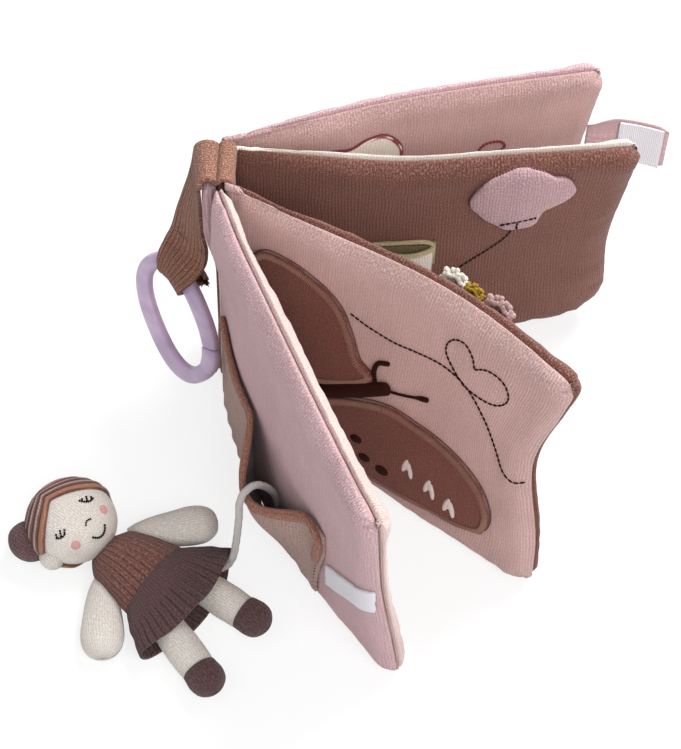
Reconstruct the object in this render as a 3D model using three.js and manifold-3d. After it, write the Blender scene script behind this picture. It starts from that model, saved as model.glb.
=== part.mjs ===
// Cloth book that stands half open: four padded leaves sewn to a soft spine, a link ring on a ribbed
// strap, a pocket on the front cover, and a small knitted doll that hangs from that pocket on a cord.
// Millimetres, +Z up. The origin is the foot of the spine, on the surface that the book stands on.

import * as THREE from 'three';
import { mergeVertices } from 'three/addons/utils/BufferGeometryUtils.js';
import Module from 'manifold-3d';

const wasm = await Module();
wasm.setup();

// Gaps between pieces
const touchGap = 0.3;
const seatGap = 0.5;
const runningGap = 0.9;
const overrun = 4;

// Leaves: padded pages and covers
const leafWidth = 165;
const leafHeight = 122;
const clothThickness = 1.2;
const padCrown = 3.3;
const spineTaper = 46;
const edgeRounding = 13;
const cornerRadius = 10;
const padInset = 2;
const leafColumnShares = [0, 0.04, 0.12, 0.27, 0.44, 0.6, 0.74, 0.87, 0.95, 0.985, 1];
const leafRowShares = [0, 0.02, 0.07, 0.22, 0.5, 0.78, 0.93, 0.98, 1];

// How each leaf stands: the plan headings of its top and bottom edges, at the spine and at the fore edge
const coverAngles = { top: [-67, -66], bottom: [-76, -47] };
const firstPageAngles = { top: [-21, -47], bottom: [-45, -32] };
const secondPageAngles = { top: [-1, 8], bottom: [-3, 19] };
const backCoverAngles = { top: [24, 11], bottom: [22, 20] };

// Spine: an outer band and a lining, and the lines that the leaves are sewn to
const coverRootBack = 1.5;
const coverRootSpread = 15;
const pageRootFront = 1;
const pageRootSpread = 11.3;
const spineRelief = 4.3;
const spineCoverThickness = 2.6;
const spineLiningThickness = 3.7;
const seamHalfThickness = touchGap / 2 + clothThickness;
const foldSeamRadius = 0.8;
const foldSeamSides = 10;
const frontFold = [-0.2, -13.35];
const backFold = [-0.1, 13.2];
const spineSide = 2 * (coverRootSpread - spineRelief);
const liningSide = 2 * (pageRootSpread - seamHalfThickness - seatGap);
const liningFront = pageRootFront - touchGap;

// Strap over the top of the spine
const strapWidth = 23;
const strapThickness = 2.4;
const strapInnerDrop = 16;
const strapInnerWidth = 17.5;
const strapHumpHeight = 6.5;
const strapFoldOut = 8;
const strapSideShift = 0.5;
const strapBendOut = 5;
const strapBendDrop = 30;
const strapBendShares = [0, 0.5, 1];
const strapTwistShares = [0, 0.17, 0.45];
const sleeveLength = 15;
const sleeveRadius = 7.6;
const sleeveWall = 1.5;
const sleeveSides = 12;
const sleeveShift = 1.85;

// Link ring: an oval link with a split
const ringHalfLength = 29.7;
const ringHalfWidth = 17;
const ringBarWidth = 7.6;
const ringBarThickness = 6;
const ringSplitGap = 0.4;
const ringCentre = [-21, -17, 45];
const ringTurnAngles = [-126.2, 33.7, 59.8];
const ringSquareness = 2.4;
const ringSteps = 28;
const ringBarSides = 8;
const ringSleeveTurnShare = 0.645;
const ringSplitTurnShare = 0.86;

// Pocket on the front cover
const pocketSideShares = [0.0788, 0.7879];
const pocketRowShares = [0, 0.2, 0.45, 0.7, 0.88, 1];
const pocketBase = leafRowShares[2] * leafHeight;
const pocketTopShare = 0.5;
const pocketCloth = 1.5;
const mouthSideShares = [0.3758, 0.7212];
const mouthBow = 13;
const mouthSag = 14.5;
const pocketFullness = 1.5;
const bindingHeight = 7;
const bindingThickness = 1.2;
const hookStripSideShares = [0.797, 0.9697];
const hookStripBaseShares = [0.2295, 0.3689];
const hookStripHeight = 16.5;
const hookStripThickness = 1.4;

// Closing tab at the back cover's fore edge
const tabLength = 34;
const tabWidth = 25;
const tabThickness = 2;
const tabPinchShare = 0.3;
const tabPinchLength = 5;
const tabCentreHeight = 75;
const tabAngle = 2;
const tabCurlAngle = -22;
const tabPatchStart = 12;
const tabPatchLength = 19;
const tabPatchMargin = 2;
const tabPatchThickness = 1.2;
const tabSteps = 6;

// Butterfly on the first page: two padded wings and a body bar
const wingRise = 2.6;
const wingEdge = 0.9;
const butterflyHeadShares = [0.521, 0.508];
const butterflyTailShares = [0.315, 0.32];
const butterflyBodyWidth = 6;
const butterflyBodyRise = 3;
const upperWingOutlineShares = [
  [0.485, 0.52], [0.43, 0.574], [0.376, 0.68], [0.303, 0.758], [0.206, 0.795], [0.121, 0.77],
  [0.079, 0.68], [0.091, 0.557], [0.158, 0.459], [0.242, 0.393], [0.294, 0.352],
];
const upperWingCentreShares = [0.261, 0.59];
const lowerWingOutlineShares = [
  [0.527, 0.443], [0.63, 0.447], [0.745, 0.41], [0.836, 0.328], [0.879, 0.23], [0.855, 0.139],
  [0.752, 0.102], [0.618, 0.082], [0.485, 0.074], [0.382, 0.123], [0.339, 0.213], [0.345, 0.295],
];
const lowerWingCentreShares = [0.594, 0.262];

// Balloon, pocket and string side of the second page
const balloonRise = 4.2;
const balloonEdge = 1.2;
const balloonCentreShares = [0.721, 0.779];
const balloonOutlineShares = [
  [0.594, 0.754], [0.612, 0.844], [0.661, 0.91], [0.721, 0.934], [0.788, 0.922], [0.842, 0.869],
  [0.861, 0.795], [0.83, 0.73], [0.788, 0.689], [0.764, 0.639], [0.721, 0.615], [0.679, 0.635],
  [0.636, 0.68],
];
const pagePocketSideShares = [0.3697, 0.5273];
const pagePocketHeightShares = [0.3115, 0.541];
const pagePocketRise = 6.5;
const pagePocketCloth = 1.2;
const pagePocketBindingHeight = 4.5;

// Crochet flowers behind the first page's top edge
const flowerRadiusShare = 0.0521;
const flowerRise = 4.5;
const flowerEdge = 1.6;
const flowerPetals = 6;
const flowerPetalDepthShare = 0.16;
const flowerHeightShare = 0.923;
const flowerPlaceShares = { white: 0.585, yellow: 0.676, pink: 0.768 };
const flowerSizeShares = { white: 1, yellow: 0.7, pink: 1 };

// Cloud on the inside of the back cover
const cloudRise = 1.4;
const cloudEdge = 0.8;
const cloudCentreShares = [0.376, 0.779];
const cloudOutlineShares = [
  [0.255, 0.746], [0.261, 0.811], [0.303, 0.844], [0.339, 0.885], [0.394, 0.893], [0.436, 0.852],
  [0.479, 0.836], [0.503, 0.779], [0.485, 0.721], [0.424, 0.705], [0.339, 0.697], [0.285, 0.705],
];

// Doll: it lies on its back, and its own x runs from head to feet, y to its left side
const dollPlace = [-69.5, -95.4];
const dollAngle = -34;
const floorCut = 0.5;
const headCentreAlong = 12.5;
const headHalf = [18.2, 18.2, 14.5];
const earAlong = 15;
const earSide = 17.2;
const earHeight = 10.5;
const earHalf = [4.6, 3.8, 3.8];
const hairThickness = 1.6;
const hairlineAlong = 0.5;
const hairlineSlopeShare = 0.68;
const hairBackEnd = 23;
const hairSideHeight = 9;
const bunCentre = [-0.5, -15, 9];
const bunHalf = [9, 8.5, 8.5];
const torsoStart = 30.5;
const torsoEnd = 56;
const torsoHalfWidths = [8, 12.5, 14.5, 17, 18.5];
const torsoHalfHeights = [5.5, 8.5, 9.7, 10.2, 9.6];
const torsoStationShares = [0, 0.12, 0.35, 0.7, 1];
const skirtLength = 23;
const skirtHemHalfWidth = 31;
const skirtHemHalfHeight = 8.6;
const skirtHemSweep = 8;
const skirtWaves = 7;
const skirtWaveDepth = 1.1;
const skirtRowShares = [0, 0.35, 0.7, 1];
const armLength = 33;
const armHalfWidth = 8.9;
const armFlatShare = 0.72;
const armStationShares = [-0.09, -0.06, 0.08, 0.36, 0.66, 0.83, 0.96, 1];
const armRadiusShares = [0, 0.5, 0.72, 0.88, 1, 0.96, 0.64, 0];
const rightArmShoulder = [35, 16];
const rightArmAngle = 47;
const leftArmShoulder = [39, -14];
const leftArmAngle = -51;
const legStart = 64;
const legSide = 11;
const legStagger = 3;
const legLength = 28.5;
const legHalfWidth = 7.6;
const legFlatShare = 0.9;
const legStationShares = [0, 0, 0.333, 0.8, 1, 1];
const legRadiusShares = [0, 0.85, 0.94, 1, 0.92, 0];
const rightLegAngle = 0;
const leftLegAngle = -19;
const shoeLength = 13;
const shoeHalfWidth = 8.2;
const shoeStationShares = [0, 0, 0.45, 0.8, 0.95, 1];
const shoeRadiusShares = [0, 0.9, 1, 0.74, 0.4, 0];
const armSwingAngle = 12;
const legSwingAngle = 8;
const headSwingAngle = 6;

// Cord between the pocket and the doll
const cordDiameter = 3.2;
const cordSides = 8;
const cordSteps = 40;
const cordRoute = [
  [25.3, -98.4, 20], [25.4, -98.5, 27], [24.6, -99.1, 34], [22.6, -100.6, 41], [19.8, -102.8, 47.2],
  [16.4, -105.4, 51.2], [12.7, -108.3, 50.4], [10.8, -110.3, 45.4], [10.5, -111.6, 38],
  [9.9, -113.2, 30], [9.1, -114.9, 22], [7.9, -116.4, 14.5], [5.4, -117.6, 9.2], [1.6, -118.3, 7.2],
];

const degree = Math.PI / 180;
const fullTurn = 2 * Math.PI;

// A closed body from a grid of rows of points: rows are joined in turn, and both ends are capped
function loftBody(rows, loop = false) {
  const count = rows[0].length;
  const points = rows.flat();
  const faces = [];
  const spans = loop ? rows.length : rows.length - 1;
  for (let i = 0; i < spans; i++) {
    const next = (i + 1) % rows.length;
    for (let j = 0; j < count; j++) {
      const k = (j + 1) % count;
      faces.push([i * count + j, next * count + j, next * count + k]);
      faces.push([i * count + j, next * count + k, i * count + k]);
    }
  }
  if (!loop) {
    for (const [row, flip] of [[0, false], [rows.length - 1, true]]) {
      const hub = points.length;
      points.push(middleOf(rows[row]));
      for (let j = 0; j < count; j++) {
        const a = row * count + j;
        const b = row * count + (j + 1) % count;
        faces.push(flip ? [hub, b, a] : [hub, a, b]);
      }
    }
  }
  return bodyFrom(points, faces);
}

// A closed sheet between two equal grids of points, near and far
function sheetBody(near, far) {
  const rows = near.length;
  const columns = near[0].length;
  const points = [...near.flat(), ...far.flat()];
  const lift = rows * columns;
  const at = (i, j) => i * columns + j;
  const faces = [];
  for (let i = 0; i + 1 < rows; i++) {
    for (let j = 0; j + 1 < columns; j++) {
      faces.push([at(i, j), at(i + 1, j), at(i + 1, j + 1)], [at(i, j), at(i + 1, j + 1), at(i, j + 1)]);
      faces.push(
        [lift + at(i, j), lift + at(i + 1, j + 1), lift + at(i + 1, j)],
        [lift + at(i, j), lift + at(i, j + 1), lift + at(i + 1, j + 1)],
      );
    }
  }
  const rim = [];
  for (let j = 0; j < columns; j++) rim.push(at(0, j));
  for (let i = 1; i < rows; i++) rim.push(at(i, columns - 1));
  for (let j = columns - 2; j >= 0; j--) rim.push(at(rows - 1, j));
  for (let i = rows - 2; i > 0; i--) rim.push(at(i, 0));
  rim.forEach((a, n) => {
    const b = rim[(n + 1) % rim.length];
    faces.push([a, b, lift + b], [a, lift + b, lift + a]);
  });
  return bodyFrom(points, faces);
}

// A closed pad from rings of points round two hubs, near and far
function discBody(nearHub, nearRings, farHub, farRings) {
  const rings = [...nearRings, ...[...farRings].reverse()];
  const count = nearRings[0].length;
  const points = [...rings.flat(), nearHub, farHub];
  const nearHubIndex = points.length - 2;
  const farHubIndex = points.length - 1;
  const faces = [];
  for (let j = 0; j < count; j++) {
    const k = (j + 1) % count;
    faces.push([nearHubIndex, j, k]);
    const last = (rings.length - 1) * count;
    faces.push([farHubIndex, last + k, last + j]);
    for (let i = 0; i + 1 < rings.length; i++) {
      const here = i * count;
      const next = here + count;
      faces.push([here + j, next + j, next + k], [here + j, next + k, here + k]);
    }
  }
  return bodyFrom(points, faces);
}

function middleOf(points) {
  const sum = points.reduce((total, p) => total.add(p), new THREE.Vector3());
  return sum.divideScalar(points.length);
}

// A geometry whose faces point outwards whatever way round its grid ran
function bodyFrom(points, faces) {
  let volume = 0;
  for (const [a, b, c] of faces) {
    volume += points[a].dot(new THREE.Vector3().crossVectors(points[b], points[c]));
  }
  const geometry = new THREE.BufferGeometry();
  const places = points.flatMap((p) => [p.x, p.y, p.z]);
  geometry.setAttribute('position', new THREE.Float32BufferAttribute(places, 3));
  geometry.setIndex(faces.flatMap(([a, b, c]) => (volume < 0 ? [a, c, b] : [a, b, c])));
  return geometry;
}

// Between three.js geometries and solids that can be joined and cut
function solidOf(geometry) {
  const bare = geometry.clone();
  bare.deleteAttribute('normal');
  bare.deleteAttribute('uv');
  const merged = mergeVertices(bare, touchGap / 100);
  return new wasm.Manifold(new wasm.Mesh({
    numProp: 3,
    vertProperties: new Float32Array(merged.attributes.position.array),
    triVerts: new Uint32Array(merged.index.array),
  }));
}

function geometryOf(solid) {
  const mesh = solid.getMesh();
  const geometry = new THREE.BufferGeometry();
  geometry.setAttribute('position', new THREE.Float32BufferAttribute(mesh.vertProperties, 3));
  geometry.setIndex(Array.from(mesh.triVerts));
  return geometry;
}

function named(name, geometry, color, roughness = 0.95) {
  const mesh = new THREE.Mesh(geometry, new THREE.MeshStandardMaterial({ color, roughness, metalness: 0 }));
  mesh.name = name;
  return mesh;
}

function clamp01(x) {
  return Math.min(1, Math.max(0, x));
}

function smoothStep(x) {
  const t = clamp01(x);
  return t * t * (3 - 2 * t);
}

function quarterRound(x) {
  const t = 1 - clamp01(x);
  return Math.sqrt(Math.max(0, 1 - t * t));
}

function mix(a, b, t) {
  return a + (b - a) * t;
}

// Evenly spaced values from one end to the other
function spaced(from, to, steps) {
  return Array.from({ length: steps + 1 }, (_, i) => mix(from, to, i / steps));
}

// A plan curve of even bend: it leaves its root at one heading and ends at the other
function planPoint(root, headings, s) {
  const start = headings[0] * degree;
  const bend = (headings[1] - headings[0]) * degree * (s / leafWidth);
  const chord = bend === 0 ? s : s * Math.sin(bend / 2) / (bend / 2);
  const heading = start + bend / 2;
  return [root[0] + chord * Math.cos(heading), root[1] + chord * Math.sin(heading)];
}

// A padded leaf. Places on it are given as s, the distance from the spine, and z, the height;
// side -1 is the face on the right of a walk from spine to fore edge, and side 1 the other
class Leaf {
  constructor(root, angles) {
    this.root = root;
    this.angles = angles;
    this.columns = leafColumnShares.map((share) => share * leafWidth);
    this.rows = leafRowShares.map((share) => share * leafHeight);
    this.faces = new Map([-1, 1].map((side) => [side, this.grid((s, z) => side * this.half(s, z))]));
  }

  // A point of the middle surface, moved sideways by an offset
  point(s, z, offset) {
    const v = z / leafHeight;
    const top = planPoint(this.root, this.angles.top, s);
    const bottom = planPoint(this.root, this.angles.bottom, s);
    const share = s / leafWidth;
    const topHeading = mix(...this.angles.top, share);
    const bottomHeading = mix(...this.angles.bottom, share);
    const heading = mix(bottomHeading, topHeading, v) * degree;
    const x = mix(bottom[0], top[0], v) - offset * Math.sin(heading);
    const y = mix(bottom[1], top[1], v) + offset * Math.cos(heading);
    return new THREE.Vector3(x, y, z);
  }

  // Half the leaf's thickness: thin at the sewn edges, full in the middle
  half(s, z) {
    const along = smoothStep(s / spineTaper) * quarterRound((leafWidth - s) / edgeRounding);
    const up = quarterRound(z / edgeRounding) * quarterRound((leafHeight - z) / edgeRounding);
    return seamHalfThickness + padCrown * along * up;
  }

  // Where a grid point lies once the fore corners are rounded
  rounded(s, z) {
    const inward = cornerRadius - (leafWidth - s);
    const low = cornerRadius - z;
    const high = cornerRadius - (leafHeight - z);
    const rise = Math.max(low, high);
    if (inward <= 0 || rise <= 0) return [s, z];
    const pull = Math.max(inward, rise) / Math.hypot(inward, rise);
    const newRise = cornerRadius - rise * pull;
    return [leafWidth - cornerRadius + inward * pull, low > high ? newRise : leafHeight - newRise];
  }

  grid(offset, columns = this.columns, rows = this.rows) {
    return rows.map((z) => columns.map((s) => {
      const [rs, rz] = this.rounded(s, z);
      return this.point(rs, rz, offset(s, z));
    }));
  }

  // A point on the cloth of one face, lifted off it by the given distance
  onCloth(side, s, z, lift) {
    const face = this.faces.get(side);
    const cell = (list, value) => {
      const last = list.length - 2;
      const found = list.findIndex((edge, i) => i <= last && value <= list[i + 1]);
      return found < 0 ? last : found;
    };
    const i = cell(this.rows, z);
    const j = cell(this.columns, s);
    const tz = (z - this.rows[i]) / (this.rows[i + 1] - this.rows[i]);
    const ts = (s - this.columns[j]) / (this.columns[j + 1] - this.columns[j]);
    const low = face[i][j].clone().lerp(face[i][j + 1], ts);
    const high = face[i + 1][j].clone().lerp(face[i + 1][j + 1], ts);
    const lowSide = face[i][j + 1].clone().sub(face[i][j]);
    const highSide = face[i + 1][j + 1].clone().sub(face[i + 1][j]);
    const along = lowSide.lerp(highSide, tz);
    const up = high.clone().sub(low);
    const normal = new THREE.Vector3().crossVectors(up, along).normalize().multiplyScalar(side * lift);
    return low.lerp(high, tz).add(normal);
  }

  // The cloth panel of one face
  panel(side) {
    const inner = this.grid((s, z) => side * (this.half(s, z) - clothThickness));
    return sheetBody(inner, this.faces.get(side));
  }

  // The wadding between the two panels
  wadding() {
    const columns = this.columns.slice(padInset, -padInset);
    const rows = this.rows.slice(padInset, -padInset);
    const depth = (s, z) => this.half(s, z) - clothThickness - touchGap;
    const near = this.grid((s, z) => -depth(s, z), columns, rows);
    return sheetBody(near, this.grid(depth, columns, rows));
  }

  // A sheet that lies on one face, between two lifts
  sheetOn(side, columns, rows, near, far) {
    const grid = (lift) => rows.map((row) => columns.map((s) => {
      const z = typeof row === 'function' ? row(s) : row;
      return this.onCloth(side, s, z, lift(s, z));
    }));
    return sheetBody(grid(near), grid(far));
  }

  // A padded shape sewn on one face: low at its edge, full at its middle
  padOn(side, outline, centre, edge, rise) {
    const ringShares = [0.55, 0.84, 1];
    const round = outlineOf(outline);
    const ring = (share, lift) => round.map(([s, z]) => {
      const rs = mix(centre[0], s, share);
      const rz = mix(centre[1], z, share);
      return this.onCloth(side, rs, rz, lift);
    });
    const height = (share) => seatGap + edge + (rise - edge) * quarterRound(1 - share * share);
    return discBody(
      this.onCloth(side, ...centre, seatGap),
      ringShares.map((share) => ring(share, seatGap)),
      this.onCloth(side, ...centre, seatGap + rise),
      ringShares.map((share) => ring(share, height(share))),
    );
  }
}

// A smooth closed outline through hand-placed corners
function outlineOf(corners) {
  const curve = new THREE.CatmullRomCurve3(corners.map(([s, z]) => new THREE.Vector3(s, z, 0)), true);
  return curve.getPoints(2 * corners.length).slice(0, -1).map((p) => [p.x, p.y]);
}

// A place on a leaf from its shares of the leaf's width and height
function onLeaf(shares) {
  return [shares[0] * leafWidth, shares[1] * leafHeight];
}

const frontCover = new Leaf([-coverRootBack, -coverRootSpread], coverAngles);
const firstPage = new Leaf([pageRootFront, -pageRootSpread], firstPageAngles);
const secondPage = new Leaf([pageRootFront, pageRootSpread], secondPageAngles);
const backCover = new Leaf([-coverRootBack, coverRootSpread], backCoverAngles);

// Spine band and lining, both standing on the floor
function spineSlab(back, front, side) {
  const slab = new THREE.BoxGeometry(front - back, side, leafHeight);
  slab.translate((front + back) / 2, 0, leafHeight / 2);
  return slab;
}

// A rolled seam on each fold line, which a cover and a page turn about
function foldSeam(place) {
  const roll = new THREE.CylinderGeometry(foldSeamRadius, foldSeamRadius, leafHeight, foldSeamSides);
  roll.rotateX(Math.PI / 2);
  roll.translate(place[0], place[1], leafHeight / 2);
  return roll;
}

const [pocketStart, pocketEnd] = pocketSideShares.map((share) => share * leafWidth);
const [mouthStart, mouthEnd] = mouthSideShares.map((share) => share * leafWidth);
const [hookStripStart, hookStripEnd] = hookStripSideShares.map((share) => share * leafWidth);
const [pagePocketStart, pagePocketEnd] = pagePocketSideShares.map((share) => share * leafWidth);
const [pagePocketBase, pagePocketTop] = pagePocketHeightShares.map((share) => share * leafHeight);
const pocketTop = pocketTopShare * leafHeight;

const spineCoverFront = liningFront - spineLiningThickness - touchGap;
const spineCoverBack = spineCoverFront - spineCoverThickness;

// The strap's top: a fold over the spine, with a narrower end sewn down inside it
function strapTop() {
  const seat = leafHeight + touchGap;
  const crest = leafHeight + strapHumpHeight;
  const innerFace = liningFront + touchGap;
  const innerBack = innerFace + strapThickness;
  const foldBack = spineCoverBack - strapFoldOut;
  const fold = new THREE.Shape();
  fold.moveTo(innerFace, seat);
  fold.lineTo(innerBack, seat);
  fold.quadraticCurveTo(innerBack, crest, (innerBack + foldBack) / 2, crest);
  fold.quadraticCurveTo(foldBack, crest, foldBack, seat);
  fold.lineTo(foldBack + strapThickness, seat);
  const under = crest - strapThickness;
  fold.quadraticCurveTo(foldBack + strapThickness, under, spineCoverBack, under);
  fold.lineTo(spineCoverBack, seat);
  fold.closePath();
  const over = new THREE.ExtrudeGeometry(fold, { depth: strapWidth, bevelEnabled: false, curveSegments: 5 });
  over.rotateX(Math.PI / 2);
  over.translate(0, strapWidth / 2 + strapSideShift, 0);
  const tail = new THREE.BoxGeometry(strapThickness, strapInnerWidth, strapInnerDrop);
  tail.translate((innerFace + innerBack) / 2, strapSideShift, seat - strapInnerDrop / 2 + touchGap);
  return geometryOf(solidOf(over).add(solidOf(tail)));
}

// The ring's centre line, in its own plane and then where it hangs
const ringTurn = new THREE.Euler(...ringTurnAngles.map((angle) => angle * degree));

function ringPoint(share, sideways = 0, across = 0) {
  const angle = share * fullTurn;
  const power = 2 / ringSquareness;
  const grow = (half) => half - ringBarWidth / 2 + sideways;
  const bend = (value) => Math.sign(value) * Math.abs(value) ** power;
  const flat = new THREE.Vector3(
    grow(ringHalfLength) * bend(Math.cos(angle)), grow(ringHalfWidth) * bend(Math.sin(angle)), across,
  );
  return flat.applyEuler(ringTurn).add(new THREE.Vector3(...ringCentre));
}

function linkRing() {
  const round = fullTurn * (ringHalfLength + ringHalfWidth) / 2;
  const splitShare = ringSplitGap / round;
  const start = ringSplitTurnShare + splitShare / 2;
  const shares = spaced(start, start + 1 - splitShare, ringSteps);
  const turns = spaced(0, fullTurn, ringBarSides).slice(0, -1);
  const sectionAngles = turns.map((angle) => angle + Math.PI / ringBarSides);
  const rows = shares.map((share) => sectionAngles.map((angle) => ringPoint(
    share, Math.cos(angle) * ringBarWidth / 2, Math.sin(angle) * ringBarThickness / 2,
  )));
  return loftBody(rows);
}

// A round tube along points, with square ends
function tubeBody(points, radius, sides) {
  const rows = points.map((p, i) => {
    const before = points[Math.max(0, i - 1)];
    const after = points[Math.min(points.length - 1, i + 1)];
    const along = after.clone().sub(before).normalize();
    const across = new THREE.Vector3(0, 0, 1).cross(along).normalize();
    const up = along.clone().cross(across);
    return spaced(0, fullTurn, sides).slice(0, -1).map((angle) => p.clone()
      .addScaledVector(across, radius * Math.cos(angle))
      .addScaledVector(up, radius * Math.sin(angle)));
  });
  return loftBody(rows);
}

// The strap's hanging loop: a band from the fold down to a sleeve round the ring
function sleevePath(length) {
  const stepShare = 0.001;
  const nextPoint = ringPoint(ringSleeveTurnShare + stepShare);
  const speed = nextPoint.distanceTo(ringPoint(ringSleeveTurnShare)) / stepShare;
  const half = length / 2 / speed;
  const shares = spaced(ringSleeveTurnShare - half, ringSleeveTurnShare + half, 4);
  return shares.map((share) => ringPoint(share, sleeveShift));
}

function strapLoop() {
  const outer = solidOf(tubeBody(sleevePath(sleeveLength), sleeveRadius, sleeveSides));
  const borePath = sleevePath(sleeveLength + 2 * overrun);
  const bore = solidOf(tubeBody(borePath, sleeveRadius - sleeveWall, sleeveSides));
  const centre = ringPoint(ringSleeveTurnShare, sleeveShift);
  const ends = sleevePath(sleeveLength);
  const lowAcross = ends[0].clone().sub(ends[4]).setZ(0).normalize();
  if (lowAcross.y < 0) lowAcross.negate();
  const foldMiddle = spineCoverBack - strapFoldOut + strapThickness / 2;
  const low = [lowAcross.x, lowAcross.y];
  const bend = (share) => [
    foldMiddle - strapBendOut * share, strapSideShift, leafHeight - strapBendDrop * share,
  ];
  const stations = [
    { at: bend(strapBendShares[0]), across: [-strapTwistShares[0], 1], width: strapWidth },
    { at: bend(strapBendShares[1]), across: [-strapTwistShares[1], 1], width: strapWidth },
    { at: bend(strapBendShares[2]), across: [-strapTwistShares[2], 1], width: strapWidth - strapThickness },
    { at: [centre.x, centre.y, centre.z + sleeveRadius], across: low, width: sleeveLength + strapThickness },
    { at: [centre.x, centre.y, centre.z + sleeveRadius / 2], across: low, width: sleeveLength },
  ];
  const rows = stations.map(({ at, across, width }) => {
    const side = new THREE.Vector3(...across, 0).normalize();
    const out = new THREE.Vector3(-side.y, side.x, 0);
    const middle = new THREE.Vector3(...at);
    return [[-1, -1], [1, -1], [1, 1], [-1, 1]].map(([a, b]) => middle.clone()
      .addScaledVector(side, a * width / 2)
      .addScaledVector(out, b * strapThickness / 2));
  });
  return geometryOf(solidOf(loftBody(rows)).add(outer).subtract(bore));
}

// The cover pocket: flat where it is sewn, and bowed out at its open mouth
function bowShare(s) {
  const t = clamp01((s - mouthStart) / (mouthEnd - mouthStart));
  return Math.sin(Math.PI * t) ** 1.5;
}

function pocketRim(s) {
  return pocketTop - mouthSag * bowShare(s);
}

function pocketLift(s, z) {
  const rise = Math.sin(clamp01((z - pocketBase) / (pocketRim(s) - pocketBase)) * Math.PI / 2);
  const fullness = Math.sin(clamp01((s - pocketStart) / (pocketEnd - pocketStart)) * Math.PI);
  return seatGap + rise * (mouthBow * bowShare(s) + pocketFullness * fullness);
}

const pocketColumns = [
  pocketStart, ...spaced(mouthStart, mouthEnd, 10), pocketEnd,
  ...frontCover.columns.filter((s) => s > pocketStart && (s < mouthStart || s > mouthEnd) && s < pocketEnd),
].sort((a, b) => a - b);

function pocketPanel() {
  const rows = pocketRowShares.map((share) => (s) => mix(pocketBase, pocketRim(s), share));
  return frontCover.sheetOn(-1, pocketColumns, rows, pocketLift, (s, z) => pocketLift(s, z) + pocketCloth);
}

// The binding lies over the pocket's top edge and down its outer face
function pocketBinding() {
  const outerFace = (s, z) => pocketLift(s, z) + pocketCloth + touchGap;
  const foot = (s) => pocketRim(s) - bindingHeight;
  const seat = (s) => pocketRim(s) + touchGap;
  const crest = (s) => seat(s) + bindingThickness;
  const leg = frontCover.sheetOn(
    -1, pocketColumns, [foot, crest],
    outerFace, (s, z) => outerFace(s, z) + bindingThickness,
  );
  const cap = frontCover.sheetOn(
    -1, pocketColumns, [seat, crest],
    pocketLift, (s, z) => outerFace(s, z) + bindingThickness / 2,
  );
  return geometryOf(solidOf(leg).add(solidOf(cap)));
}

// The hook strip climbs towards the cover's fore edge
function hookStrip() {
  const [low, high] = hookStripBaseShares.map((share) => share * leafHeight);
  const base = (s) => mix(low, high, (s - hookStripStart) / (hookStripEnd - hookStripStart));
  const rows = spaced(0, hookStripHeight, 2).map((rise) => (s) => base(s) + rise);
  return frontCover.sheetOn(
    -1, spaced(hookStripStart, hookStripEnd, 3), rows, () => seatGap, () => seatGap + hookStripThickness,
  );
}

// The closing tab leaves the back cover's fore edge and curls towards the reader
const tabRoot = backCover.point(leafWidth, tabCentreHeight, 0);

function tabStrip(from, to, low, high, near, far) {
  const grid = (offset) => spaced(low, high, 1).map((z) => spaced(from, to, tabSteps).map((s) => {
    const bend = (tabCurlAngle - tabAngle) * degree * (s / tabLength);
    const pinch = mix(tabPinchShare, 1, clamp01(s / tabPinchLength));
    const heading = tabAngle * degree + bend / 2;
    const normal = tabAngle * degree + bend;
    const x = tabRoot.x + seatGap + s * Math.cos(heading) - pinch * offset * Math.sin(normal);
    const y = tabRoot.y + s * Math.sin(heading) + pinch * offset * Math.cos(normal);
    return new THREE.Vector3(x, y, z);
  }));
  return sheetBody(grid(near), grid(far));
}

function closingTab() {
  const low = tabCentreHeight - tabWidth / 2;
  return tabStrip(0, tabLength, low, low + tabWidth, -tabThickness / 2, tabThickness / 2);
}

function tabPatch() {
  const low = tabCentreHeight - tabWidth / 2 + tabPatchMargin;
  const face = -tabThickness / 2 - touchGap;
  return tabStrip(
    tabPatchStart, tabPatchStart + tabPatchLength, low, low + tabWidth - 2 * tabPatchMargin,
    face - tabPatchThickness, face,
  );
}

// The butterfly's body is a long low pad from tail to head
function butterflyBody() {
  const head = onLeaf(butterflyHeadShares);
  const tail = onLeaf(butterflyTailShares);
  const along = [head[0] - tail[0], head[1] - tail[1]];
  const length = Math.hypot(...along);
  const [ux, uz] = [along[0] / length, along[1] / length];
  const half = butterflyBodyWidth / 2;
  const stations = [
    [0, 0], [half, half], [length / 2, half], [length - half, half], [length, 0],
  ];
  const place = ([a, b]) => [tail[0] + a * ux - b * uz, tail[1] + a * uz + b * ux];
  const back = stations.slice(1, -1).reverse().map(([a, b]) => [a, -b]);
  const outline = [...stations, ...back].map(place);
  const centre = [(head[0] + tail[0]) / 2, (head[1] + tail[1]) / 2];
  return { outline, centre };
}

function wing(outlineShares, centreShares) {
  const outline = outlineShares.map(onLeaf);
  const centre = onLeaf(centreShares);
  const body = butterflyBody();
  const reach = butterflyBodyRise + overrun;
  const room = solidOf(firstPage.padOn(-1, body.outline, body.centre, reach, reach));
  return geometryOf(solidOf(firstPage.padOn(-1, outline, centre, wingEdge, wingRise)).subtract(room));
}

// The small page pocket and its binding
function pagePocketLift(s, z) {
  const across = Math.sin(clamp01((s - pagePocketStart) / (pagePocketEnd - pagePocketStart)) * Math.PI);
  const up = Math.sin(clamp01((z - pagePocketBase) / (pagePocketTop - pagePocketBase)) * Math.PI / 2);
  return seatGap + pagePocketRise * across * up;
}

function pagePocket() {
  return secondPage.sheetOn(
    -1, spaced(pagePocketStart, pagePocketEnd, 6), spaced(pagePocketBase, pagePocketTop, 4),
    pagePocketLift, (s, z) => pagePocketLift(s, z) + pagePocketCloth,
  );
}

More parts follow.
